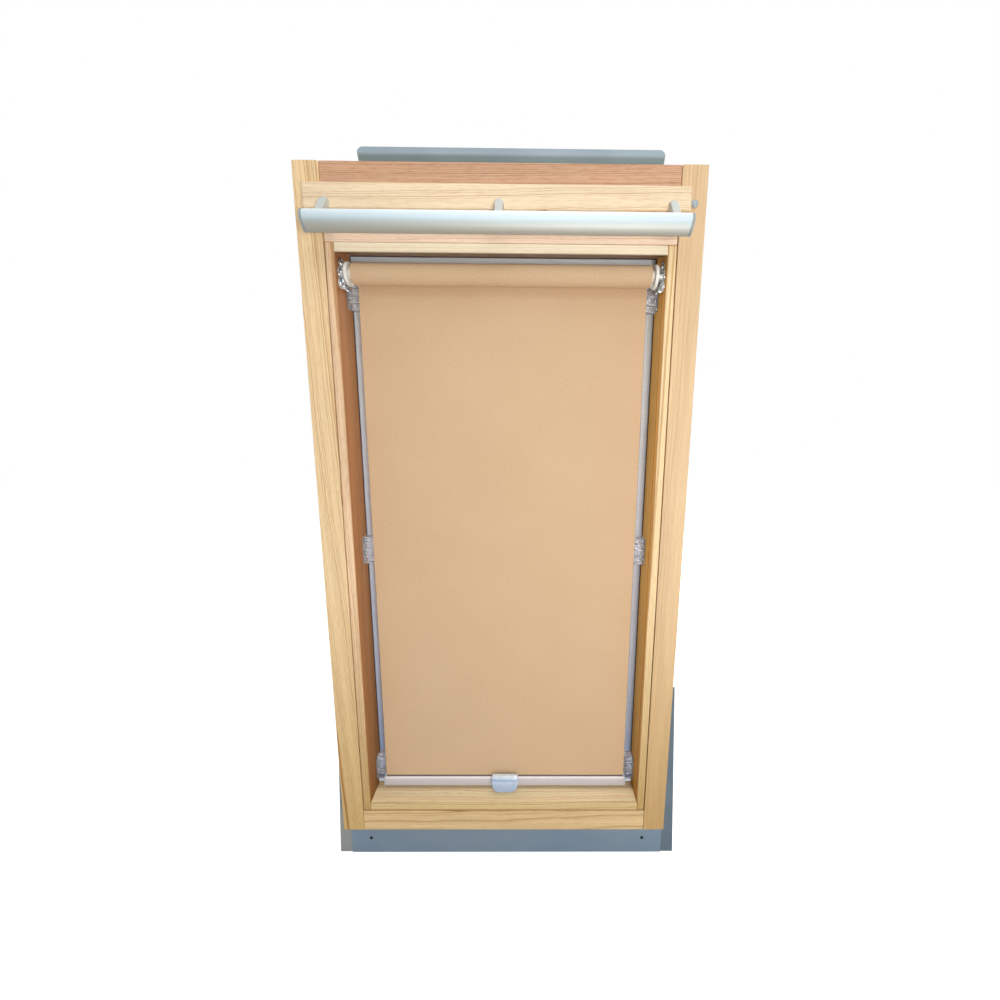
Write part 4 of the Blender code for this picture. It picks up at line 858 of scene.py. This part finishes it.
# %% Hang the cloth
CLOTH_WAVE = 0.0005
cloth_low, cloth_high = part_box("blind_fabric")
cloth_width, cloth_drop = cloth_high.x - cloth_low.x, cloth_high.z - cloth_low.z
cloth_y = (cloth_low.y + cloth_high.y) / 2
bpy.ops.object.select_all(action="DESELECT")
bpy.ops.mesh.primitive_plane_add(size=1, rotation=(math.pi / 2, 0, 0))
cloth = bpy.context.object
cloth.name = "hanging_cloth"
cloth.scale = (cloth_width, cloth_drop, 1)
cloth.location = (0, cloth_y, cloth_low.z + cloth_drop / 2)
bpy.ops.object.transform_apply(location=True, rotation=True, scale=True)
bpy.ops.object.mode_set(mode="EDIT")
bpy.ops.mesh.select_all(action="SELECT")
bpy.ops.mesh.subdivide(number_cuts=40)
bpy.ops.object.mode_set(mode="OBJECT")
map_in_metres(cloth, lambda point: (point.x, point.z))
for vertex in cloth.data.vertices:
    down = (cloth_high.z - vertex.co.z) / cloth_drop
    hold = math.sin(math.pi * down)
    vertex.co.y += CLOTH_WAVE * hold * (1 + math.sin(14 * vertex.co.x + 5 * down))
thicken(cloth, 30)
paint(cloth, cloth_finish, "sash")
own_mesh(cloth)
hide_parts("blind_fabric")
print("cloth", round(cloth_width, 4), "x", round(cloth_drop, 4), "m")

# %% [markdown]
# ## The cloth on the roller
#
# The rest of the cloth is wound on the tube. Seen from the side it is a spiral, and at its
# ends the layers show as fine lines. Blender's bend tool needs a window, so a long grid is
# rolled up in code instead: each row of points goes to its own turn and radius on the spiral,
# and a solidify modifier gives the layers their thickness. The last turn leaves the roll
# where the hanging cloth begins.

# %% Wind the roll
LAYER_PITCH = 0.00056
ROWS_PER_TURN = 40
WRAP_GAP, TUBE_GAP = 0.00025, 0.0003  # from the solid's face and from the tube
roll_low, roll_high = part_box("fabric_roll")
roll_y, roll_z = (roll_low.y + roll_high.y) / 2, (roll_low.z + roll_high.z) / 2
outer = (roll_high.z - roll_low.z) / 2 - WRAP_GAP
inner = (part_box("roller_tube")[1].z - roll_z) + TUBE_GAP
layers = (outer - inner) / LAYER_PITCH
wound_length = math.pi * (outer**2 - inner**2) / LAYER_PITCH
bpy.ops.object.select_all(action="DESELECT")
bpy.ops.mesh.primitive_grid_add(
    x_subdivisions=8, y_subdivisions=int(layers * ROWS_PER_TURN), size=1
)
roll = bpy.context.object
roll.name = "wound_cloth"
map_in_metres(roll, lambda point: (point.x * cloth_width,
                                   cloth_high.z + (0.5 - point.y) * wound_length))
for vertex in roll.data.vertices:
    share = vertex.co.y + 0.5
    turn = 2 * math.pi * layers * (1 - share)
    radius = outer - (outer - inner) * (1 - share)
    x = vertex.co.x * cloth_width
    vertex.co = (x, roll_y + radius * math.cos(turn), roll_z + radius * math.sin(turn))
thicken(roll, 40)
paint(roll, cloth_finish, "roller")
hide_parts("fabric_roll")
print("roll of", round(layers, 1), "layers,", round(wound_length, 3), "m of cloth")

# %% [markdown]
# ## The pull bar
#
# The bar is a shallow C of extruded aluminium, 28 mm high. Its round front is what catches
# the light, so it is drawn with many more points than the CAD solid has. The ends are sawn
# aslant, the top edge being the longer one, and every edge is broken a little.

# %% Draw the bar's section and extrude it
BAR_BULGE = 0.008
BAR_WALL = 0.0024
BAR_SETBACK = 0.00086
BAR_SLANT = 0.17
LIP_TURN = 1.7  # degrees by which the inner curve ends before the outer one
bar_low, bar_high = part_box("control_bar")
bar_height = bar_high.z - bar_low.z
bar_radius = ((bar_height / 2) ** 2 + BAR_BULGE**2) / (2 * BAR_BULGE)
bar_centre = (bar_high.y - BAR_SETBACK - BAR_BULGE + bar_radius, (bar_low.z + bar_high.z) / 2)
half_turn = math.degrees(math.asin(bar_height / 2 / bar_radius))
front_curve = arc(bar_centre, bar_radius, 180 - half_turn, 180 + half_turn, 30)
back_curve = arc(bar_centre, bar_radius - BAR_WALL, 180 + half_turn - LIP_TURN,
                 180 - half_turn + LIP_TURN, 24)
bar = profiled("pull_bar", front_curve + back_curve, bar_low.x, bar_high.x, smooth=40)
bar_middle = (bar_low.x + bar_high.x) / 2
for vertex in bar.data.vertices:
    below = bar_high.z - vertex.co.z
    vertex.co.x -= math.copysign(BAR_SLANT * below, vertex.co.x - bar_middle)
apply_bevel(bar, 0.0004, 2, 40)
bpy.ops.object.shade_smooth_by_angle(angle=math.radians(40))
paint(bar, bar_finish, "flap")
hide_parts("control_bar")
print("bar radius", round(bar_radius, 4), "front at", round(min(y for y, z in front_curve), 4))

# %% [markdown]
# ## The bar's cast arms
#
# Three arms carry the bar. Each is a die casting that stands on the flap with a round-topped
# foot and swings down and out into the hollow of the bar, like a bent finger. One arm is
# drawn in side view and extruded; level cuts across its top then give points that can be
# pulled in to the round top, and a generous bevel makes the edges soft. The round top is
# drawn as it is seen from the room, so its level leans back.

# %% Cast one arm and copy it
LEAN = 0.45
FOOT_DEPTH = 0.012
FOOT_SHARE, FINGER_SHARE = 0.84, 0.74  # of the CAD arm's width
GRIP_GAP = 0.0006
arm_low, arm_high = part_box("bar_arm_centre")
arm_half = (arm_high.x - arm_low.x) / 2
pad_y = arm_high.y
grip = arc(bar_centre, bar_radius - BAR_WALL - GRIP_GAP, 180 - half_turn - 2, 182, 6)
arm_outline = [
    (pad_y, arm_low.z + 0.0190), (pad_y, arm_high.z - 0.0022),
    (pad_y - 0.0036, arm_high.z - 0.0024), (pad_y - 0.0060, arm_high.z - 0.0044),
    (pad_y - 0.0088, arm_high.z - 0.0084), *grip,
    (pad_y - 0.0200, arm_low.z + 0.0085), (pad_y - 0.0100, arm_low.z + 0.0135),
]
arm = profiled("cast_arm_centre", arm_outline, -arm_half, arm_half)
top_level = max(z - LEAN * (y - pad_y) for y, z in arm_outline)
round_centre = top_level - arm_half
bpy.ops.object.mode_set(mode="EDIT")
for rise in (0.05, 0.30, 0.52, 0.70, 0.84, 0.94):
    level = round_centre + rise * arm_half
    bpy.ops.mesh.select_all(action="SELECT")
    bpy.ops.mesh.bisect(plane_co=(0, pad_y, level), plane_no=(0, -LEAN, 1))
bpy.ops.object.mode_set(mode="OBJECT")
for vertex in arm.data.vertices:
    above = (vertex.co.z - LEAN * (vertex.co.y - pad_y) - round_centre) / arm_half
    if above > 0:
        vertex.co.x *= max(math.sqrt(max(1 - above**2, 0)), 0.12)
    vertex.co.x *= FINGER_SHARE if vertex.co.y < pad_y - FOOT_DEPTH else FOOT_SHARE
apply_bevel(arm, 0.0022, 3, 48)
bpy.ops.object.shade_smooth_by_angle(angle=math.radians(45))
arm.data.transform(Matrix.Translation(((arm_low.x + arm_high.x) / 2, 0, 0)))
paint(arm, arm_finish, "flap")
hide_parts("bar_arm_centre")
for side in ("left", "right"):
    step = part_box(f"bar_arm_{side}")[0].x - arm_low.x
    twin = copied(arm, f"cast_arm_{side}", Matrix.Translation((step, 0, 0)), "flap")
    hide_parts(f"bar_arm_{side}")
print("arms", len(arm.data.polygons), "faces each")

# %% [markdown]
# ## Screws
#
# All screws are one model: a turned pan head with a cross recess, cut out by two crossed
# bars. It lies at the origin with its head up. Copies are turned to their place, and a flat
# head is the same one pressed down. The screw at the origin is deleted at the end.

# %% Model one screw head
HEAD_RADIUS, HEAD_RIM, HEAD_DOME = 0.003, 0.0006, 0.0012


def domed(radius, rim, height, turns):
    """Half a section with a domed top over a short upright rim."""
    points = [(math.cos(math.radians(t)), math.sin(math.radians(t))) for t in turns]
    return [(radius * across, rim + height * up) for across, up in points] + [(0, rim + height)]


head_section = [(0, 0), (HEAD_RADIUS, 0), (HEAD_RADIUS, HEAD_RIM)]
head_section += domed(HEAD_RADIUS, HEAD_RIM, HEAD_DOME, (25, 50, 70))
screw = turned("screw_head", head_section, steps=20, smooth=35)
for turn in (0, 90):
    bpy.ops.object.select_all(action="DESELECT")
    bpy.ops.mesh.primitive_cube_add(
        size=1, location=(0, 0, HEAD_RIM + HEAD_DOME), rotation=(0, 0, math.radians(turn))
    )
    blade = bpy.context.object
    blade.scale = (0.0032, 0.0007, 0.0020)
    bpy.ops.object.transform_apply(location=True, rotation=True, scale=True)
    cut_away(screw, blade)
print("screw head", len(screw.data.polygons), "faces")


# %% A function that drives a screw
def fasten(name, place, axis, body, size=1.0, flat=1.0, spin=0.0, finish=zinc):
    """Puts a copy of the screw at a place, with its head along an axis."""
    turn = Vector(axis).to_track_quat("Z", "Y").to_matrix().to_4x4()
    shape = Matrix.Diagonal((size, size, size * flat, 1))
    shape = shape @ Matrix.Rotation(math.radians(spin), 4, "Z")
    made = copied(screw, name, Matrix.Translation(place) @ turn @ shape, body)
    return paint(made, finish, body)


SIDES = (("left", -1), ("right", 1))
print("screws of", 2000 * HEAD_RADIUS, "mm")

# %% [markdown]
# ## The roller's guide discs
#
# A white acetal disc closes each end of the roller and keeps the cloth from wandering. It is
# one turned piece with the hub that sits in the tube: the left one ends in its own pin, and
# the right one is bored for the spring's fixed axle. Each is drawn as half a section.

# %% Turn the two discs
BORE = 0.0031
PIN = 0.0028
NECK = 0.0084
roller_centre = Vector((0, roll_y, roll_z))
hub_end, disc_out = (corner.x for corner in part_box("guide_disc_right"))
disc_in = disc_out - 0.0045
pin_end = -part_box("guide_disc_left")[0].x
hub_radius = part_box("roller_tube")[1].z - roll_z - 0.0014
flange = [
    (NECK, disc_in), (0.0150, disc_in), (0.0157, disc_in + 0.0003), (0.0160, disc_in + 0.0010),
    (0.0160, disc_out - 0.0010), (0.0157, disc_out - 0.0003), (0.0150, disc_out),
    (0.0128, disc_out), (0.0122, disc_out - 0.0006), (0.0068, disc_out - 0.0006),
    (0.0062, disc_out),
]
hub = [(hub_radius, hub_end), (hub_radius, disc_in - 0.0035), (NECK, disc_in - 0.0035)]
idle = [(0, hub_end), *hub, *flange, (PIN, disc_out), (PIN, pin_end), (0, pin_end)]
bored = [(BORE, hub_end), *hub, *flange, (BORE, disc_out), (BORE, hub_end)]
for (side, sign), section in zip(SIDES, (idle, bored)):
    disc = turned(f"end_disc_{side}", section, roller_centre, (sign, 0, 0), 56)
    paint(disc, disc_plastic, "roller")
    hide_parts(f"guide_disc_{side}")
print("disc from", round(disc_in, 4), "to", round(disc_out, 4))

# %% [markdown]
# ## The roller's brackets
#
# The roller hangs between two pressed steel brackets on the window's reveals. A pressed
# bracket has no straight sides: its outline follows its holes at an even distance. Here that
# outline is found by walking round the middle and taking the farthest point of four circles,
# one round each hole. A turned cup takes the roller's pin, a folded lip stops it from below,
# and three screws sit in raised rings.

# %% Press one bracket
BRACKET_SHEET = 0.0015
bearer_low, bearer_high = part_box("roller_bearer_left")
plate_x, lip_z = bearer_low.x, bearer_low.z
holes = (
    (roll_y, bearer_high.z - 0.0088, 0.0088), (roll_y, roll_z, 0.0129),
    (roll_y - 0.0056, lip_z + 0.0078, 0.0074), (roll_y + 0.0056, lip_z + 0.0078, 0.0074),
)
bracket_outline = []
for step in range(72):
    way_y, way_z = math.cos(math.radians(5 * step)), math.sin(math.radians(5 * step))
    farthest = 0.0
    for hole_y, hole_z, hole_radius in holes:
        off_y, off_z = hole_y - roll_y, hole_z - roll_z
        along = off_y * way_y + off_z * way_z
        inside = hole_radius**2 - (off_y**2 + off_z**2 - along**2)
        if inside >= 0:
            farthest = max(farthest, along + math.sqrt(inside))
    bracket_outline.append((roll_y + farthest * way_y, roll_z + farthest * way_z))
bracket = profiled(
    "bracket_left", bracket_outline, plate_x, plate_x + BRACKET_SHEET, bevel=0.0004
)
print("bracket outline", len(bracket_outline), "points")

# %% Add its cup and lip
cup_top = disc_out + 0.0020
cup_section = [
    (BORE, cup_top), (0.0057, cup_top), (0.0062, 0.0005 + cup_top),
    (0.0062, -plate_x - 0.0012), (0.0072, -plate_x - 0.0004), (BORE, -plate_x - 0.0004),
    (BORE, cup_top),
]
cup = turned("cup", cup_section, roller_centre, (-1, 0, 0), 32)
lip_outline = [
    (roll_y - 0.009, lip_z), (roll_y + 0.009, lip_z), (roll_y + 0.009, lip_z + BRACKET_SHEET),
    (roll_y - 0.009, lip_z + BRACKET_SHEET),
]
lip = profiled("lip", lip_outline, plate_x + 0.0004, bearer_high.x, bevel=0.0004)
joined(bracket, cup, lip)
paint(bracket, zinc, "sash")
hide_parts("roller_bearer_left")
print("bracket", len(bracket.data.polygons), "faces")

# %% Rings, screws and the right-hand bracket
right_bracket = copied(bracket, "bracket_right", MIRROR, "sash")
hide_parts("roller_bearer_right")
ring_section = [(0.0026, 0), (0.0045, 0), (0.0045, 0.0005), (0.0041, 0.0012),
                (0.0032, 0.0014), (0.0026, 0.0010), (0.0026, 0)]
recess_shade_section = [(0, 0), (0.0015, 0), (0.0013, 0.00015), (0, 0.00015)]
for spot, (hole_y, hole_z, _) in (("top", holes[0]), ("front", holes[2]), ("back", holes[3])):
    place = Vector((plate_x + BRACKET_SHEET, hole_y, hole_z))
    ring = turned(f"bracket_ring_{spot}_left", ring_section, place, (1, 0, 0), 28)
    paint(ring, zinc, "sash")
    copied(ring, f"bracket_ring_{spot}_right", MIRROR, "sash")
    fasten(f"bracket_screw_{spot}_left", place, (1, 0, 0), "sash", 1.0, 1.5, 20)
    fasten(f"bracket_screw_{spot}_right", MIRROR @ place, (-1, 0, 0), "sash", 1.0, 1.5, 50)
    # Painted shade: a thin black disc in each screw head darkens the floor of its cross recess.
    socket = turned(f"bracket_recess_shade_{spot}_left", recess_shade_section,
                    place + Vector((0.0023, 0, 0)), (1, 0, 0), 16)
    paint(socket, black_steel, "sash")
    copied(socket, f"bracket_recess_shade_{spot}_right", MIRROR, "sash")
print("rings and screws on both brackets")

# %% [markdown]
# ## The catch claws
#
# Clear claws on the reveals hold the blind at three heights: the rail's pins hook behind
# their teeth. Each is one moulding of polycarbonate: a plate against the wood, a rib, and
# five teeth with rounded tips. The comb is drawn in side view with its rounding, extruded,
# and joined to a plate with round corners. One claw is made and copied to the other five
# places, mirrored on the right.

# %% Mould one claw
TOOTH_HEIGHT = 0.0022
PLATE_CORNER = 0.004
claw_low, claw_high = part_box("claw_low_left")
tooth_pitch = (claw_high.z - claw_low.z - TOOTH_HEIGHT) / 4
rib_front, rib_back = claw_high.y - 0.0042, claw_high.y - 0.0010
tip_y = cloth_y + 0.0033
comb = [(rib_back, claw_high.z), (rib_back, claw_low.z)]
for tooth in range(5):
    low = claw_low.z + tooth * tooth_pitch
    tip = tip_y if tooth else tip_y + 0.0030
    comb += [(tip + 0.0012, low), (tip + 0.0003, low + 0.0003), (tip, low + 0.0011),
             (tip + 0.0004, low + 0.0019), (tip + 0.0014, low + TOOTH_HEIGHT)]
    if tooth < 4:
        high = low + tooth_pitch
        comb += [(rib_front - 0.0012, low + TOOTH_HEIGHT), (rib_front - 0.0003, low + 0.0026),
                 (rib_front, low + 0.0036), (rib_front, high - 0.0014),
                 (rib_front - 0.0003, high - 0.0004), (rib_front - 0.0012, high)]
claw = profiled("catch_claw_low_left", comb, claw_low.x + 0.0010, claw_high.x, bevel=0.0003)
back, front = claw_high.y - PLATE_CORNER, claw_high.y - 0.019 + PLATE_CORNER
head, foot = claw_high.z - 0.001 - PLATE_CORNER, claw_low.z + 0.001 + PLATE_CORNER
plate_outline = []
for quarter, middle in enumerate(((back, head), (front, head), (front, foot), (back, foot))):
    plate_outline += arc(middle, PLATE_CORNER, 90 * quarter, 90 * quarter + 90, 5)
claw_plate = profiled("claw_plate", plate_outline, claw_low.x, claw_low.x + 0.002, bevel=0.0005)
joined(claw, claw_plate)
paint(claw, clear_plastic, "sash")
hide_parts("claw_low_left")
print("tooth pitch", round(tooth_pitch, 5), "m")

# %% Copy the claw and drive its screws
for level in ("low", "middle", "top"):
    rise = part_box(f"claw_{level}_left")[0].z - claw_low.z
    for side, sign in SIDES:
        shift = Matrix.Translation((0, 0, rise)) @ (MIRROR if sign > 0 else Matrix.Identity(4))
        if (level, side) != ("low", "left"):
            twin = copied(claw, f"catch_claw_{level}_{side}", shift, "sash")
            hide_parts(f"claw_{level}_{side}")
        for spot, gap in (("low", 1), ("high", 3)):
            gap_z = claw_low.z + (gap + 0.5) * tooth_pitch + 0.0011
            place = shift @ Vector((claw_low.x + 0.002, tip_y + 0.0052, gap_z))
            fasten(f"claw_screw_{level}_{spot}_{side}", place, (-sign, 0, 0), "sash", 0.95,
                   0.75, 15 + 40 * gap)
print("claws at three heights on both sides")

# %% [markdown]
# ## The pull handle
#
# The handle on the rail is a small moulded tongue: flat behind, hollowed in front for the
# fingertips, with a lip at its foot and round lower corners. It starts as a cube with many
# cuts. Each point is then moved to its place by two curves, one for the width at its height
# and one for how far the front stands out, and a subdivision surface smooths the result.

# %% The curve of the handle's front
FRONT_STEPS = [(0.0, 0.0030), (0.05, 0.0007), (0.11, 0.0000), (0.20, 0.0012), (0.35, 0.0030),
               (0.52, 0.0045), (0.70, 0.0059), (0.80, 0.0069), (0.88, 0.0086), (0.95, 0.0100),
               (1.0, 0.0106)]


def curve_value(steps, share):
    """The value at a share of a curve, which is given as (share, value) steps."""
    for (low, below), (high, above) in zip(steps, steps[1:]):
        if share <= high:
            return below + (above - below) * (share - low) / (high - low)
    return steps[-1][1]


print("hollow at mid height", round(curve_value(FRONT_STEPS, 0.5), 4))

# %% Shape the handle
HANDLE_CORNER = 0.015
handle_low, handle_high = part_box("pull_handle")
handle_half = (handle_high.x - handle_low.x) / 2
handle_height = handle_high.z - handle_low.z
bpy.ops.object.select_all(action="DESELECT")
bpy.ops.mesh.primitive_cube_add(size=2)
handle = bpy.context.object
handle.name = "pull_tongue"
bpy.ops.object.mode_set(mode="EDIT")
bpy.ops.mesh.select_all(action="SELECT")
bpy.ops.mesh.subdivide(number_cuts=13)
bpy.ops.object.mode_set(mode="OBJECT")
for vertex in handle.data.vertices:
    side_share, depth_share, rise = vertex.co.x, (vertex.co.y + 1) / 2, (vertex.co.z + 1) / 2
    z = handle_low.z + handle_height * rise
    under = max(0.0, 1 - (z - handle_low.z) / HANDLE_CORNER)
    over = max(0.0, 1 - (handle_high.z - z) / 0.003)
    corner = HANDLE_CORNER * (1 - math.sqrt(max(0.0, 1 - under**2)))
    half = handle_half - corner - 0.002 * over**2
    front = handle_low.y + curve_value(FRONT_STEPS, rise) + 0.0016 * abs(side_share) ** 6
    back = handle_high.y - 0.006 * max(0.0, 1 - (z - handle_low.z) / 0.006)
    vertex.co = (half * side_share, front + (back - front) * depth_share, z)
soften = handle.modifiers.new("soft edges", "SUBSURF")
soften.levels = soften.render_levels = 1
bpy.ops.object.modifier_apply(modifier=soften.name)
bpy.ops.object.shade_smooth_by_angle(angle=math.radians(50))
handle.data.transform(Matrix.Translation(((handle_low.x + handle_high.x) / 2, 0, 0)))
paint(handle, handle_plastic, "rail")
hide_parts("pull_handle")
print("handle", round(2 * handle_half, 3), "wide,", round(handle_height, 4), "high")

# %% [markdown]
# ## Slot lip, cap and seals
#
# The last pieces are small. A dark lip of rubber closes the rail's slot in front of the
# cloth, and its dark colour is painted shade, the shade inside the slot. A domed cap covers a
# hole in the right jamb. A dark rubber seal runs round the inside of the pane where it meets
# the wood, and another lies under the outside cover.

# %% Fit the rail's slot lip
rail_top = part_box("bottom_rail")[1].z
lip_front, lip_back = cloth_y - 0.0014, cloth_y - 0.0003
lip_outline = [(lip_front, rail_top - 0.0003), (lip_back, rail_top - 0.0003),
               (lip_back, rail_top + 0.0014), (lip_front + 0.0002, rail_top + 0.0012)]
slot_half = cloth_width / 2
# Painted shade: the lip's dark rubber stands in for the shade inside the rail's slot.
slot_lip = profiled("rail_slot_shade_lip", lip_outline, -slot_half, slot_half, bevel=0.0002)
paint(slot_lip, rubber, "rail")
print("slot lip", round(2 * slot_half, 4), "m long")

# %% Turn the cap
CAP_RIM, CAP_DOME = 0.0014, 0.0032
cap_low, cap_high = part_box("jamb_cap")
cap_radius = (cap_high.x - cap_low.x) / 2
cap_centre = ((cap_low.x + cap_high.x) / 2, cap_high.y, (cap_low.z + cap_high.z) / 2)
cap_section = [(0, 0), (cap_radius - 0.0004, 0), (cap_radius, 0.0004), (cap_radius, CAP_RIM)]
cap_section += domed(cap_radius, CAP_RIM, CAP_DOME, (12, 26, 42, 60, 76))
cap = turned("domed_cap", cap_section, cap_centre, (0, -1, 0), 40, smooth=40)
paint(cap, button_plastic, "frame")
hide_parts("jamb_cap")
print("cap radius", round(cap_radius, 4))


# %% Lay the seals
def seal_frame(name, low, high, width, body):
    """A rubber frame: low and high are its outer corners, width is the width of its strip."""
    bpy.ops.object.select_all(action="DESELECT")
    bpy.ops.mesh.primitive_plane_add(size=1, rotation=(math.pi / 2, 0, 0))
    made = bpy.context.object
    made.name = name
    made.scale = (high.x - low.x, high.z - low.z, 1)
    made.location = ((low.x + high.x) / 2, low.y, (low.z + high.z) / 2)
    bpy.ops.object.transform_apply(location=True, rotation=True, scale=True)
    bpy.ops.object.mode_set(mode="EDIT")
    bpy.ops.mesh.select_all(action="SELECT")
    bpy.ops.mesh.inset(thickness=width, depth=0)
    bpy.ops.mesh.delete(type="FACE")
    bpy.ops.mesh.select_all(action="SELECT")
    bpy.ops.mesh.extrude_region_move(TRANSFORM_OT_translate={"value": (0, high.y - low.y, 0)})
    bpy.ops.mesh.select_all(action="SELECT")
    bpy.ops.mesh.normals_make_consistent(inside=False)
    bpy.ops.object.mode_set(mode="OBJECT")
    apply_bevel(made, min(width, high.y - low.y) * 0.3, 3)
    bpy.ops.object.shade_smooth_by_angle(angle=math.radians(40))
    return paint(made, rubber, body)


reveal = -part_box("sash_stile_left")[1].x
sill_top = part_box("sash_sill")[1].z
pane_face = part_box("inner_pane")[0].y
lining_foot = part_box("sash_head_lining")[1].z - 0.0031
seal_frame("inner_glazing_seal", Vector((-reveal, pane_face - 0.0026, sill_top)),
           Vector((reveal, pane_face - 0.0001, lining_foot)), 0.0011, "sash")
cover_inner = -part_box("sash_cover_left")[1].x
outer_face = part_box("outer_pane")[1].y
foot_lip, head_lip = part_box("sash_cover_foot")[1].z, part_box("sash_cover_head")[0].z
seal_frame("outer_glazing_seal", Vector((-cover_inner, outer_face + 0.0001, foot_lip)),
           Vector((cover_inner, outer_face + 0.0014, head_lip)), 0.0018, "sash")
print("seals at", round(reveal, 4), "and", round(cover_inner, 4))

# %% [markdown]
# ## Screws of the window itself
#
# Screws hold the apron, the covers, the hood, the pivots, the hinge and the strike plate.
# Most lie on the weather side, whose faces look along +Y.

# %% Screws on the weather side
OUTWARDS = (0, 1, 0)
cover_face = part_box("foot_cover")[1].y
for side, sign in SIDES:
    apron_place = (sign * 0.265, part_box("apron")[0].y, -0.112)
    fasten(f"apron_screw_{side}", apron_place, (0, -1, 0), "frame", 1.0, 0.8, 25, black_steel)
    side_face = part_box(f"side_cover_{side}")[1].y
    for number, z in enumerate((0.12, 0.515, 0.93)):
        fasten(f"cover_screw_{side}_{number}", (sign * 0.262, side_face, z), OUTWARDS, "frame",
               1.1, 0.8, 30 * number)
    sash_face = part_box(f"sash_cover_{side}")[1].y
    for number, z in enumerate((0.16, 0.50, 0.84)):
        fasten(f"sash_cover_screw_{side}_{number}", (sign * 0.2295, sash_face, z), OUTWARDS,
               "sash", 0.9, 0.8, 40 * number)
    fasten(f"hood_screw_{side}", (sign * 0.19, cover_face, 1.045), OUTWARDS, "frame", 1.1, 0.8,
           15)
    fasten(f"foot_cover_screw_{side}", (sign * 0.20, cover_face, 0.0300), OUTWARDS, "frame",
           0.7, 0.6, 15)
print("outside screws placed")

# %% Screws on the hinge, pivots and strike plate
HINGE_FACE = -0.0433
PIVOT_PLATE = 0.0013
SCREW_STEP = 0.028
hinge_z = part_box("sash_hinge_leaf")[0].z + 0.0045
for number, x in enumerate((-0.130, -0.055, 0.047, 0.122)):
    fasten(f"hinge_screw_{number}", (x, HINGE_FACE, hinge_z), (0, -1, 0), "sash", 0.8, 0.35,
           25 * number)
for side, sign in SIDES:
    pivot_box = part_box(f"sash_pivot_{side}")
    sash_x = abs(pivot_box[0 if sign < 0 else 1].x)
    middle = (pivot_box[0].z + pivot_box[1].z) / 2
    for number, z in enumerate((middle - SCREW_STEP, middle + SCREW_STEP)):
        fasten(f"frame_pivot_screw_{side}_{number}", (sign * (sash_x + PIVOT_PLATE), 0, z),
               (-sign, 0, 0), "frame", 1.0, 0.2, 30 * number)
        fasten(f"sash_pivot_screw_{side}_{number}", (sign * sash_x, 0, z), (sign, 0, 0), "sash",
               1.0, 0.2, 50 * number)
strike_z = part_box("strike_plate")[0].z
for number, x in enumerate((-0.022, 0.022)):
    fasten(f"strike_screw_{number}", (x, 0, strike_z), (0, 0, -1), "frame", 0.8, 0.25, 20)
bpy.data.objects.remove(screw, do_unlink=True)
